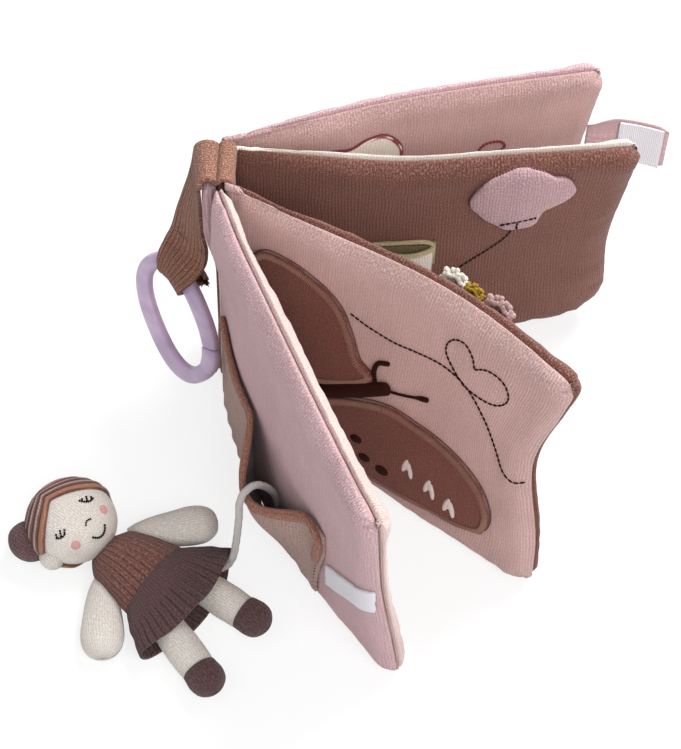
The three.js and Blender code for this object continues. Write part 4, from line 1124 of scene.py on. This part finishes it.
def pad_on(name, leaf, outline, centre, rise, edge, finish, node, steps=6):
    """A stuffed shape sewn on a leaf, in rings from its middle to its outline."""
    loop = smooth_path(outline, steps, closed=True)
    count = len(loop)
    heart = Vector((*centre, 0))
    rings = [0.0, 0.2, 0.4, 0.58, 0.72, 0.82, 0.89, 0.94, 0.975, 0.993, 1.0, 0.985, 0.95]
    last = len(rings) - 1

    def spot(u, v):
        point = heart.lerp(loop[round(u * count) % count], max(rings[round(v * last)], 0.004))
        return -point.x, point.y

    def place(u, v):
        k = round(v * last)
        share = rings[k]
        s, z = spot(u, v)
        s = -s
        if k >= 10:
            lift = (edge, edge * 0.55, 0.0)[k - 10]
        else:
            lift = edge + (rise - edge) * math.sqrt(max(0.0, 1 - share ** 2.6)) ** 0.9
            lift += rise * 0.09 * ripple(s, z, 9, rise) * (1 - share)
        gather = 0.012 * math.sin(u * count * 0.9) * smooth_step((share - 0.7) / 0.3)
        s, z = s + (s - centre[0]) * gather, z + (z - centre[1]) * gather
        return leaf.on(s, z, lift + 0.05)[0]

    piece = grid_piece(name, count, last, place, spot, outward=leaf.on(*centre)[1])
    weld(piece, 2e-5, turned=False)
    settle(piece, leaf.body, finish, node, fill=0.6)
    return loop


def stitch_runs(leaf, path, pitch, cover, lift):
    """Stitches along a path of places on a leaf."""
    laid = [leaf.on(p.x, p.y, lift) for p in spaced_out(path, 0.4)]
    line = [point for point, _ in laid]
    reach, last = reach_of(line), len(line) - 1

    runs, start = [], 0
    while start < last:
        end = start + 1
        while end < last and reach[end] - reach[start] < pitch * cover:
            end += 1
        runs.append((line[start], line[end], laid[start][1]))
        start = end
    return runs


def sewn_line(name, leaf, lines, finish, slot, width=0.85, pitch=2.1, lift=0.25):
    runs = []
    for corners in lines:
        runs += stitch_runs(leaf, smooth_path(corners, 10), pitch, 1.12, lift)
    settle(stitches(name, runs, width), leaf.body, finish, slot=slot)


def edge_stitches(name, leaf, loop, centre, finish, slot, inner, outer, pitch, lift, width, foot):
    """Close stitches over the edge of a sewn shape, from inner mm inside it to outer mm outside."""
    points = spaced_out(loop + [loop[0]], pitch)
    runs = []
    for p, q in zip(points, points[1:]):
        out = Vector((q.y - p.y, -(q.x - p.x), 0)).normalized()
        if out.dot(Vector((p.x - centre[0], p.y - centre[1], 0))) < 0:
            out = -out
        start, face = leaf.on(*(p - out * inner).to_2d(), lift)
        end = leaf.on(*(p + out * outer + (q - p) * 0.6).to_2d(), foot)[0]
        runs.append((start, end, face))
    settle(stitches(name, runs, width, 0.45), leaf.body, finish, slot=slot)


UPPER_WING = [
    (80, 64.6), (72, 69.9), (66, 80.7), (59.5, 90.2), (49, 97.4), (34, 101.4), (20, 98.9), (13, 87.1),
    (15, 68.8), (26, 56.1), (40, 48), (48.5, 43)]
LOWER_WING = [
    (87, 55), (104, 56), (117, 55), (130, 50), (140, 42), (145.5, 31), (143.5, 21), (134, 16.5), (118, 14.5),
    (100, 11), (80, 9), (63, 15), (56, 26), (57, 36)]
UPPER_HEART, LOWER_HEART = (43, 72), (98, 32)
WING_RISE, WING_EDGE = 3.0, 1.9
loops = [
    pad_on(f"butterfly_{word}_wing_pad", FIRST_PAGE, outline, heart, WING_RISE, WING_EDGE, WING_KNIT,
           f"butterfly_{word}_wing")
    for word, outline, heart in (("upper", UPPER_WING, UPPER_HEART), ("lower", LOWER_WING, LOWER_HEART))]
for word, loop, heart in zip(("upper", "lower"), loops, (UPPER_HEART, LOWER_HEART)):
    slot = f"butterfly_{word}_wing"
    edge_stitches(
        word + "_wing_edging", FIRST_PAGE, loop, heart, TAN_THREAD, slot, inner=3.4, outer=0.0, pitch=0.8,
        lift=2.95, width=0.62, foot=2.15)
    laid = [FIRST_PAGE.on(p.x, p.y, 0.2) for p in loop + [loop[0]]]
    settle(tube_on(word + "_wing_seam", laid, 0.3, sides=8), "first_page", WING_KNIT, slot=slot)


def make_butterfly_body():
    tail, head = Vector((51, 38)), Vector((87, 64.5))
    laid = [FIRST_PAGE.on(*tail.lerp(head, i / 40), 1.9) for i in range(41)]
    body = tube_on(
        "butterfly_body_roll", laid, lambda share: 1.9 + 0.35 * math.sin(share * math.pi), sides=20, flat=1.6)
    settle(body, "first_page", DARK_THREAD, "butterfly_body", fill=0.8)


def cord_line(name, leaf, corners, radius, finish, slot, lift):
    """A satin-stitched line: a low roll over the cloth."""
    laid = [leaf.on(p.x, p.y, lift) for p in smooth_path(corners, 8)]
    settle(tube_on(name, laid, radius, sides=10, flat=1.15), leaf.body, finish, slot=slot)


def satin_spots(name, spots, finish):
    """Low satin-stitched spots on the lower wing; each is its place, two half sizes and lean in degrees."""
    bm = bmesh.new()
    for s, z, half_a, half_b, lean in spots:
        place, face = FIRST_PAGE.on(s, z, WING_RISE - 0.15)
        ahead = (FIRST_PAGE.on(s + 1, z)[0] - FIRST_PAGE.on(s, z)[0]).normalized()
        up = face.cross(ahead).normalized()
        if up.z < 0:
            up = -up
        turn = math.radians(lean)
        x = ahead * math.cos(turn) + up * math.sin(turn)
        y = up * math.cos(turn) - ahead * math.sin(turn)
        ball(bm, place, (x, y, face), (half_a, half_b, 0.8), 20, 10)
    settle(piece_of(bm, name), "first_page", finish, slot="butterfly_lower_wing")


make_butterfly_body()
cord_line(
    "curled_antenna", FIRST_PAGE, [(80.5, 63.5), (79.3, 69), (80.6, 73.5), (84.8, 76)], 0.95, DARK_THREAD,
    "butterfly_body", 0.7)
cord_line(
    "straight_antenna", FIRST_PAGE, [(86.5, 62.5), (91, 64), (98, 67), (102.5, 69.2), (105.4, 70.4)],
    lambda share: 0.55 + 0.5 * smooth_step((share - 0.7) / 0.2), DARK_THREAD, "butterfly_body", 0.6)
satin_spots(
    "wing_dots", [(78, 28.5, 3.1, 2.3, 20), (83.5, 21, 3.1, 2.3, 20), (93, 20.5, 3.6, 2.7, 20)], DARK_THREAD)
drops = []
for s, z in ((105, 31.6), (117, 28.6), (127.3, 25.6)):
    drops += [(s - 1.5, z + 0.7, 1.35, 4.3, -10), (s + 1.5, z - 1.0, 1.2, 3.9, 16), (s, z + 1.2, 1.6, 2.4, 0)]
satin_spots("wing_drops", drops, WHITE_THREAD)

sewn_line("stitched_trail", FIRST_PAGE, [
    [(63.5, 89.9), (71.4, 88.7), (83.4, 88.2), (96.5, 90.4), (109.5, 92), (121, 89.6), (132, 80.1),
     (140.8, 68.3), (146, 60.6), (152, 57.6), (157.2, 60)],
], DARK_THREAD, "first_page_front_panel")
sewn_line("stitched_heart", FIRST_PAGE, [
    [(120.7, 89.1), (114.3, 93.4), (108.8, 100.4), (110.3, 107.4), (116.3, 110.9), (121.3, 106.4),
     (123.3, 100.9)],
    [(123.3, 100.9), (129.3, 104.9), (137.3, 103.9), (140.8, 97.4), (136.7, 90.8), (128.7, 88.6),
     (120.7, 89.1)],
], DARK_THREAD, "first_page_front_panel")

BALLOON_HEART = (119, 99)
BALLOON = [
    (99, 96.1), (100.5, 104.6), (107, 113.6), (117, 118), (127, 116.8), (132.4, 113.2), (138, 111.4),
    (142, 104.1), (140.5, 98.1), (134, 93.6), (129.5, 90.1), (128, 84.1), (124, 80.2), (114.5, 80),
    (108.5, 84.6), (102, 91.1)]
balloon = pad_on(
    "balloon_pad", SECOND_PAGE, BALLOON, BALLOON_HEART, 4.8, 1.8, BALLOON_KNIT, "balloon", steps=5)
edge_stitches(
    "balloon_edging", SECOND_PAGE, balloon, BALLOON_HEART, ROSE_THREAD, "balloon", inner=1.1, outer=0.3,
    pitch=1.3, lift=2.6, width=0.45, foot=0.6)
sewn_line(
    "balloon_tie", SECOND_PAGE, [[(111.5, 85.8), (117.5, 87.4), (127, 89.4)], [(118.8, 87.5), (118.8, 82)]],
    FACE_THREAD, "balloon", width=1.0, lift=4.5)
sewn_line("balloon_string", SECOND_PAGE, [
    [(118.6, 81), (116.8, 74), (111, 66), (104, 59), (97, 52.5), (90, 48)]
], FACE_THREAD, "second_page_front_panel", width=0.9)

CLOUD_HEART = (48, 94.5)
CLOUD = [
    (20, 89), (18, 96), (21.5, 102.2), (30, 104.3), (38, 103.2), (46, 104.6), (54, 103.6), (60, 107),
    (68, 107.8), (74, 102.5), (77, 95), (75, 88), (62, 85), (46, 84), (30, 84.5)]
cloud = pad_on("cloud_pad", BACK_COVER, CLOUD, CLOUD_HEART, 1.6, 0.9, CREAM_KNIT, "cloud")
edge_stitches(
    "cloud_edging", BACK_COVER, cloud, CLOUD_HEART, CRIMSON_THREAD, "cloud", inner=1.3, outer=0.9, pitch=0.55,
    lift=1.3, width=0.75, foot=0.2)
sewn_line("second_cloud_line", BACK_COVER, [
    [(112, 84.5), (113.5, 87.5), (117.5, 88.8), (122, 88), (124, 84.5), (121, 82), (115, 82), (112, 84.5)],
], CRIMSON_THREAD, "cloud", width=1.5, pitch=1.2)


def make_page_pocket():
    leaf = SECOND_PAGE
    out = leaf.on(74, 50)[1]

    def lift_at(s, z):
        across = math.sin(clamp((s - PAGE_POCKET_START) / 26) * math.pi)
        return 0.6 + 4.6 * across ** 0.8 * math.sin(clamp((z - PAGE_POCKET_BASE) / 28) * math.pi / 2)

    def spot(u, v):
        top = PAGE_POCKET_TOP - 0.8 * math.sin(u * math.pi)
        return mix(PAGE_POCKET_START, PAGE_POCKET_END, u), mix(PAGE_POCKET_BASE, top, v)

    cloth = grid_piece(
        "page_pocket_cloth", 32, 30, lambda u, v: leaf.on(*spot(u, v), lift_at(*spot(u, v)))[0], spot,
        outward=out)
    two_sided_sheet(
        cloth, 1.0, "second_page", CREAM_KNIT, OLIVE_LINING, "page_pocket_panel")
    laid = []
    for i in range(61):
        s = mix(60.6, 84.9, i / 60)
        laid.append(leaf.on(s, 69.0 - 0.8 * math.sin(i / 60 * math.pi), lift_at(s, 66) + 0.2))
    roll = tube_on("page_pocket_binding_roll", laid, 0.95, sides=14, flat=1.5)
    settle(roll, "second_page", OLIVE_TAPE, "page_pocket_binding", fill=0.5)

    inner_layer = grid_piece(
        "page_pocket_lining", 26, 16, lambda u, v: leaf.on(mix(60.5, 86.5, u), mix(57, 72.2, v), 0.35)[0],
        lambda u, v: (26 * u, 15 * v), outward=out)
    thicken(inner_layer, 0.5, 1.0)
    settle(inner_layer, "second_page", OLIVE_LINING, slot="page_pocket_panel")
    cord_line("page_pocket_back_rim", leaf, [
        (60.5, 71.2), (74, 71.8), (81.6, 72), (84.6, 70.6), (85.1, 67), (84.7, 61), (84.3, 52), (84.3, 42)
    ], 0.95, OLIVE_TAPE, "page_pocket_binding", 0.7)
    sewn_line("page_pocket_inner_line", leaf, [[(64, 70), (74, 70.4), (84, 70.3)]], SHADE_THREAD,
              "page_pocket_binding", width=0.6, pitch=1.6, lift=0.9)
    beads = []
    for k in range(7):
        c, s = math.cos(k * 0.9), math.sin(k * 0.9)
        place, face = leaf.on(74.5 + 1.7 * c, 60 + 1.9 * s, lift_at(74.5, 60) + 0.9)
        beads.append((place, place + Vector((1.2 * c, 0, 1.2 * s)), face))
    settle(stitches("page_pocket_blossom", beads, 1.1), "second_page", WHITE_THREAD, slot="page_pocket_panel")


make_page_pocket()


def flower(word, s, size, colour, dark):
    """A crochet flower: a ring of looped petals round a knotted middle."""
    bm = bmesh.new()
    place, out = FIRST_PAGE.on(s, 118.2, 0.6, side=1)
    ahead = (FIRST_PAGE.on(s + 2, 112.6, side=1)[0] - FIRST_PAGE.on(s - 2, 112.6, side=1)[0]).normalized()
    up = out.cross(ahead).normalized()
    if up.z < 0:
        up = -up

    def knot(reach, turn, lift, share, seed):
        centre = place + (ahead * math.cos(turn) + up * math.sin(turn)) * reach + out * lift
        made = bmesh.ops.create_icosphere(
            bm, subdivisions=2, radius=size * share * MM, matrix=Matrix.Translation(centre * MM))
        for vert in made["verts"]:
            away = vert.co - centre * MM
            vert.co += away * 0.28 * ripple(away.x / MM + seed * 3, away.y / MM + away.z / MM, 0.9, seed)

    for petal in range(6):
        turn = petal * TURN / 6 + 0.3
        for k in range(5):
            spread = (k - 2) * 0.21
            reach = size * (0.66 + 0.22 * math.cos(spread * 3.2))
            knot(reach, turn + spread, 3.0 + 1.1 * math.sin(k * 2 + petal), 0.16, petal * 7 + k)
            knot(reach * 0.9, turn + spread, 1.2, 0.14, k)
        knot(size * 0.42, turn, 3.2, 0.22, petal + 50)
    knot(0, 0, 4.2, 0.3, 91)
    finish = thread("flower_" + word, colour, dark, 0.6, 0.9, 0.25)
    settle(piece_of(bm, word + "_crochet_flower"), "first_page", finish, word + "_flower", fill=0.5)


flower("white", 99.0, 7.0, "#fffaf0", "#d6ccbb")
flower("yellow", 107.2, 5.2, "#d0ab2f", "#7b601a")
flower("pink", 119.8, 7.4, "#dab9b7", "#a5827e")


# ---------------------------------------------------------------- doll

DOLL_TURN = Matrix.Rotation(math.radians(-34), 3, "Z")
DOLL_PLACE = Vector((-69.5, -95.4, 0))
FLOOR_CLEAR = 0.12


def in_doll(x, y, z):
    """From the doll's own measures, x from its head to its feet and y to its left, to the book's."""
    return DOLL_PLACE + DOLL_TURN @ Vector((x, y, max(z, FLOOR_CLEAR)))


HEAD_CENTRE, HEAD_HALF = Vector((12.5, 0, 14)), Vector((18.2, 18.2, 14.5))


def head_point(x, y, lift=0.0):
    """The place on the face side of the head over a point of the doll's plan, and its direction."""
    a, b = (x - HEAD_CENTRE.x) / HEAD_HALF.x, (y - HEAD_CENTRE.y) / HEAD_HALF.y
    rise = math.sqrt(max(0.02, 1 - a * a - b * b))
    out = Vector((a / HEAD_HALF.x, b / HEAD_HALF.y, rise / HEAD_HALF.z)).normalized()
    point = Vector((x, y, HEAD_CENTRE.z + HEAD_HALF.z * rise)) + out * lift
    return in_doll(*point), DOLL_TURN @ out


def on_egg(centre, half, angle, tilt, grow=0.0, wave=1.0):
    """A place on a ball, by the angle round its long axis and the tilt from its crown."""
    return Vector((
        centre.x - (half.x + grow) * math.cos(tilt) * wave,
        centre.y + (half.y + grow) * math.sin(tilt) * math.cos(angle) * wave,
        centre.z + (half.z + grow) * math.sin(tilt) * math.sin(angle) * wave))


def egg(name, centre, half, finish, *nodes, slot=None, turns=64, rows=40, dent=0.0, fill=0.8):
    """A stuffed ball whose stitch columns run from crown to chin."""
    centre, half = Vector(centre), Vector(half)

    def place(u, v):
        angle = u * TURN
        wave = 1 + dent * ripple(math.cos(angle) * 9, math.sin(angle) * 9 + v * 14, 6, half.x)
        return in_doll(*on_egg(centre, half, angle, (v * 0.985 + 0.008) * math.pi, wave=wave))

    piece = grid_piece(
        name, turns, rows, place, lambda u, v: (u * TURN * half.y * 0.9, v * math.pi * half.x), wrap=True)
    settle(piece, "doll_head", finish, *nodes, slot=slot, fill=fill)


HAIR_TURNS, HAIR_ROWS = 120, 40


def hair_border(y, z):
    """How far down the head the hair reaches: to the hairline on the face, and to the neck behind."""
    return mix(23.0, 4.7 + 0.57 * abs(y + 3.2), smooth_step((z - 7) / 7))


def make_hair():
    borders = []
    for i in range(HAIR_TURNS):
        low, high = 0.05, math.pi * 0.8
        for _ in range(30):
            middle = (low + high) / 2
            point = on_egg(HEAD_CENTRE, HEAD_HALF, i / HAIR_TURNS * TURN, middle)
            if point.x < hair_border(point.y, point.z):
                low = middle
            else:
                high = middle
        borders.append(low)

    def place(u, v):
        border = borders[round(u * HAIR_TURNS) % HAIR_TURNS]
        tilt = max(0.012, border * v)
        away = (border - tilt) * 17
        lift = 0.35 + 1.35 * math.sqrt(clamp(away / 1.6)) - 0.25 * math.cos((away - 2.6) * TURN / 3.7)
        return in_doll(*on_egg(HEAD_CENTRE, HEAD_HALF, u * TURN, tilt, lift))

    def flat(u, v):
        return (u * TURN * 14, (1 - v) * borders[round(u * HAIR_TURNS) % HAIR_TURNS] * 17)

    hair = grid_piece("doll_hair_cap", HAIR_TURNS, HAIR_ROWS, place, flat, outward=Vector((0, 0, 1)))
    weld(hair)
    thicken(hair, 0.8)
    settle(hair, "doll_head", hair_finish(), "doll_hair", fill=0.4)


def hair_finish():
    """Brown knit with copper and pale stripes that follow the hairline."""
    finish = Finish("hair_knit", roughness=0.85, sheen=0.2)
    flat, u, v = finish.place()
    drift = finish.speckle(flat, 0.12, 2.0)
    line = v + (drift - 0.5) * 1.6
    bead = (u / 1.1).wave()
    stripe = ((line - 2.6) / 3.7).ridge()
    thin = stripe.step(0.66, 0.82)
    band = stripe.step(0.1, 0.45)
    mottle = finish.speckle(flat, 0.9, 3.0)
    colour = finish.blend(band * (0.75 + bead * 0.25), tone("#43292a"), tone("#735047"))
    colour = finish.blend(thin * (0.6 + bead * 0.4), colour, tone("#bf9a92"))
    colour = finish.blend(1 - line.step(2.2, 2.7), colour, tone("#9d6c55"))
    colour = finish.blend(1 - line.step(0.3, 0.7), colour, tone("#6b4539"))
    shade = (mottle - 0.5) * 0.35 + 1.0
    colour = finish.blend(1.0, colour, finish.node("CombineColor", (shade, shade, shade)), "MULTIPLY")
    finish.set("Base Color", colour)
    finish.bump(band + bead * 0.4 + mottle * 0.5, 0.3)
    return finish


egg("doll_head_ball", HEAD_CENTRE, HEAD_HALF, SKIN_KNIT, "doll_head", dent=0.012)
for word, x, y in (("right", 15, -17.4), ("left", 10, 17.4)):
    egg(f"doll_{word}_ear", (x, y, 10.8), (5.3, 4.6, 4.6), SKIN_KNIT, slot="doll_head", turns=28, rows=16,
        fill=0.7)
make_hair()
egg("doll_bun_ball", (1.6, -15.6, 9), (9.2, 8.5, 8.5), BUN_KNIT, "doll_bun", turns=44, rows=28, dent=0.09)

FACE = [
    ("doll_lashes", 1.0, [
        [(14.2, 3.0), (16.6, 4.4), (17.6, 6.4), (17.2, 8.6)],
        [(15.6, 3.4), (14.4, 5.0)], [(16.9, 5.2), (14.8, 6.9)], [(17.5, 7.2), (15.5, 8.7)],
        [(15.8, -14.0), (17.6, -13.0), (18.4, -11.4), (18.2, -10.0)],
        [(16.6, -13.7), (14.8, -12.7)], [(17.8, -12.6), (15.2, -10.6)], [(18.3, -11.0), (16.6, -9.0)],
    ]),
    ("doll_nose", 0.75, [[(23.3, -3.4), (22.3, -2.4), (22.3, -0.6), (23.1, 0.6)]]),
    ("doll_mouth", 1.15, [[(26.9, -4.6), (28.4, -2.8), (28.9, -0.4), (28.2, 2.0), (26.6, 3.6)]]),
]


def make_face():
    for name, width, lines in FACE:
        runs = []
        for corners in lines:
            laid = [head_point(p.x, p.y, 0.25) for p in spaced_out(smooth_path(corners, 8), 0.9)]
            runs += [(a[0], b[0], a[1]) for a, b in zip(laid, laid[1:])]
        settle(stitches(name, runs, width), "doll_head", FACE_THREAD, slot="doll_head")
    bm = bmesh.new()
    for x, y in ((23.2, 7.8), (23.8, -11.0)):
        place, out = head_point(x, y, 0.02)
        along = Vector((0, 0, 1)).cross(out).normalized()
        ball(bm, place, (along, out.cross(along), out), (2.0, 2.0, 0.3), 24, 10)
    settle(piece_of(bm, "doll_cheeks"), "doll_head", BLUSH_THREAD, slot="doll_head")


make_face()


def oval_body(name, stations, finish, node, turns=72, waves=0, depth=0.0, sweep=0.0, fill=0.8, hollow=False):
    """Oval rings along the doll's length, lying on the floor; each is its x, half width and half height."""
    curve = smooth_path(stations, 40 // (len(stations) - 1))
    last = len(curve) - 1

    def place(u, v):
        ring = curve[round(v * last)]
        angle = u * TURN
        side = math.cos(angle)
        fold = depth * v * math.cos(waves * angle + 0.6 * math.sin(angle)) if waves else 0.0
        soft = 1 + 0.03 * ripple(ring.x, angle * 5, 6, ring.y * 0.01)
        return in_doll(
            ring.x - sweep * v * side * side,
            (ring.y + fold * 0.5) * side * soft,
            ring.z - 0.5 + (ring.z * soft + fold) * math.sin(angle))

    length = reach_of(curve)[-1]
    widest = max(width for _, width, _ in stations)
    piece = grid_piece(
        name, turns, last, place, lambda u, v: (u * 4.6 * widest, v * length), wrap=not hollow,
        outward=Vector((0, 0, 1)) if hollow else None)
    if hollow:
        weld(piece)
        thicken(piece, 1.5)
    return settle(piece, "doll", finish, node, fill=fill)


oval_body("doll_torso_rib", [
    (27.5, 7.0, 6.0), (30.5, 10.2, 7.4), (33.6, 12.9, 8.7), (39.4, 14.5, 9.7), (48.4, 17, 10.2),
    (56, 18.5, 9.6), (59, 17.5, 8.6),
], TORSO_KNIT, "doll_torso")
skirt = oval_body(
    "doll_skirt_cloth", [(55.6, 18.8, 9.9), (62, 22.3, 10.1), (70, 26.4, 9.6), (79.3, 30.8, 8.9)], SKIRT_KNIT,
    "doll_skirt", turns=140, waves=7, depth=1.5, sweep=8.0, fill=None, hollow=True)


def limb(name, stations, half, flat_share, root, heading, finish, body, node):
    """A stuffed limb; each station is a distance along it and a half width."""
    turn = Matrix.Rotation(math.radians(heading), 3, "Z")
    curve = smooth_path(stations, 6)
    last = len(curve) - 1

    def place(u, v):
        ring = curve[round(v * last)]
        angle = u * TURN
        soft = 1 + 0.025 * ripple(ring.x, angle * 4, 6, heading)
        y = ring.y * math.cos(angle) * soft
        z = (half * flat_share - 0.5) + ring.y * flat_share * math.sin(angle) * soft
        return in_doll(*(Vector((*root, 0)) + turn @ Vector((ring.x, y, z))))

    length = curve[-1].x - curve[0].x
    piece = grid_piece(name, 48, last, place, lambda u, v: (u * TURN * half * 0.85, v * length), wrap=True)
    settle(piece, body, finish, node, fill=0.8)


ARM = [
    (-5.5, 3.2), (-2.0, 4.9), (2.6, 6.3), (8, 7.3), (14, 8.1), (21, 8.9), (26.4, 8.3), (29.8, 6.5),
    (31.8, 3.9), (32.5, 0.3)]
LEG = [(-7, 5.6), (0, 6.5), (9.5, 7.2), (20, 7.6), (26.5, 7.3), (29.2, 7.1)]
SHOE = [(28.6, 7.3), (30.5, 7.5), (34, 7.7), (37.4, 6.8), (39.6, 4.7), (40.8, 2.3), (41.1, 0.3)]
for word, root, heading in (("right", (35, 16), 47), ("left", (39, -14), -51)):
    body = f"doll_{word}_arm"
    limb(body + "_knit", ARM, 8.9, 0.72, root, heading, SKIN_KNIT, body, body)
for word, root, heading in (("right", (64, 11), 0), ("left", (67, -11), -19)):
    body = f"doll_{word}_leg"
    limb(body + "_knit", LEG, 7.6, 0.9, root, heading, SKIN_KNIT, body, body)
    limb(f"doll_{word}_shoe_knit", SHOE, 8.2, 0.9, root, heading, SHOE_KNIT, body, f"doll_{word}_shoe")


# ---------------------------------------------------------------- floor and light

WHITE = (1, 1, 1, 1)
FLOOR_HALF, FLOOR_DROP = 3.0, 0.0002
FLOOR_GLOW, FLOOR_GLOW_SHARE = 1.06, 0.72
WORLD_LIGHT, WORLD_SEEN = 0.36, 1.0
LAMPS = [
    ("key_light", (0.45, -0.85, 0.95), 0.8, 8.8), ("fill_light", (-0.9, -0.5, 0.8), 1.2, 2.8),
    ("back_light", (0.4, 0.42, 0.8), 0.5, 10.0),
]


def make_floor():
    bm = bmesh.new()
    bmesh.ops.create_grid(bm, x_segments=1, y_segments=1, size=FLOOR_HALF)
    floor = piece_of(bm, "studio_floor")
    finish = Finish("studio_paper")
    finish.set("Base Color", (0.93, 0.93, 0.93, 1))
    glow = finish.node("Emission", {"Color": WHITE, "Strength": FLOOR_GLOW})
    camera_ray, transmission_ray = (finish.node("LightPath", out=out) for out in (0, 3))
    seen = camera_ray.math("MAXIMUM", camera_ray, transmission_ray)
    paper = Link(finish, finish.shader.outputs[0])
    mixed = finish.node("MixShader", (seen * FLOOR_GLOW_SHARE, paper, glow))
    finish.feed(finish.tree.nodes["Material Output"].inputs["Surface"], mixed)
    floor.data.materials.append(finish.material)
    floor.location.z = -FLOOR_DROP


def make_light():
    """A white surround that lights the cloth less than the camera sees of it, and three soft lamps."""
    world = bpy.data.worlds.new("studio")
    world.use_nodes = True
    bpy.context.scene.world = world
    tree = world.node_tree
    lit, bright = tree.nodes["Background"], tree.nodes.new("ShaderNodeBackground")
    for ground, strength in ((lit, WORLD_LIGHT), (bright, WORLD_SEEN)):
        ground.inputs["Color"].default_value = WHITE
        ground.inputs["Strength"].default_value = strength
    path, either, mixed = (tree.nodes.new("ShaderNode" + kind) for kind in ("LightPath", "Math", "MixShader"))
    either.operation = "MAXIMUM"
    for source, socket in (
        (path.outputs["Is Camera Ray"], either.inputs[0]),
        (path.outputs["Is Transmission Ray"], either.inputs[1]),
        (either.outputs[0], mixed.inputs[0]), (lit.outputs[0], mixed.inputs[1]),
        (bright.outputs[0], mixed.inputs[2]),
        (mixed.outputs[0], tree.nodes["World Output"].inputs["Surface"]),
    ):
        tree.links.new(source, socket)
    for name, place, size, energy in LAMPS:
        data = bpy.data.lights.new(name, "AREA")
        data.shape, data.size, data.energy = "DISK", size, energy
        lamp = bpy.data.objects.new(name, data)
        aim = Vector((0.04, -0.03, 0.05)) - Vector(place)
        turn = aim.to_track_quat("-Z", "Y").to_matrix().to_4x4()
        lamp.matrix_world = Matrix.Translation(Vector(place)) @ turn
        bpy.context.scene.collection.objects.link(lamp)


make_floor()
make_light()
bpy.context.scene.view_settings.view_transform = "Standard"
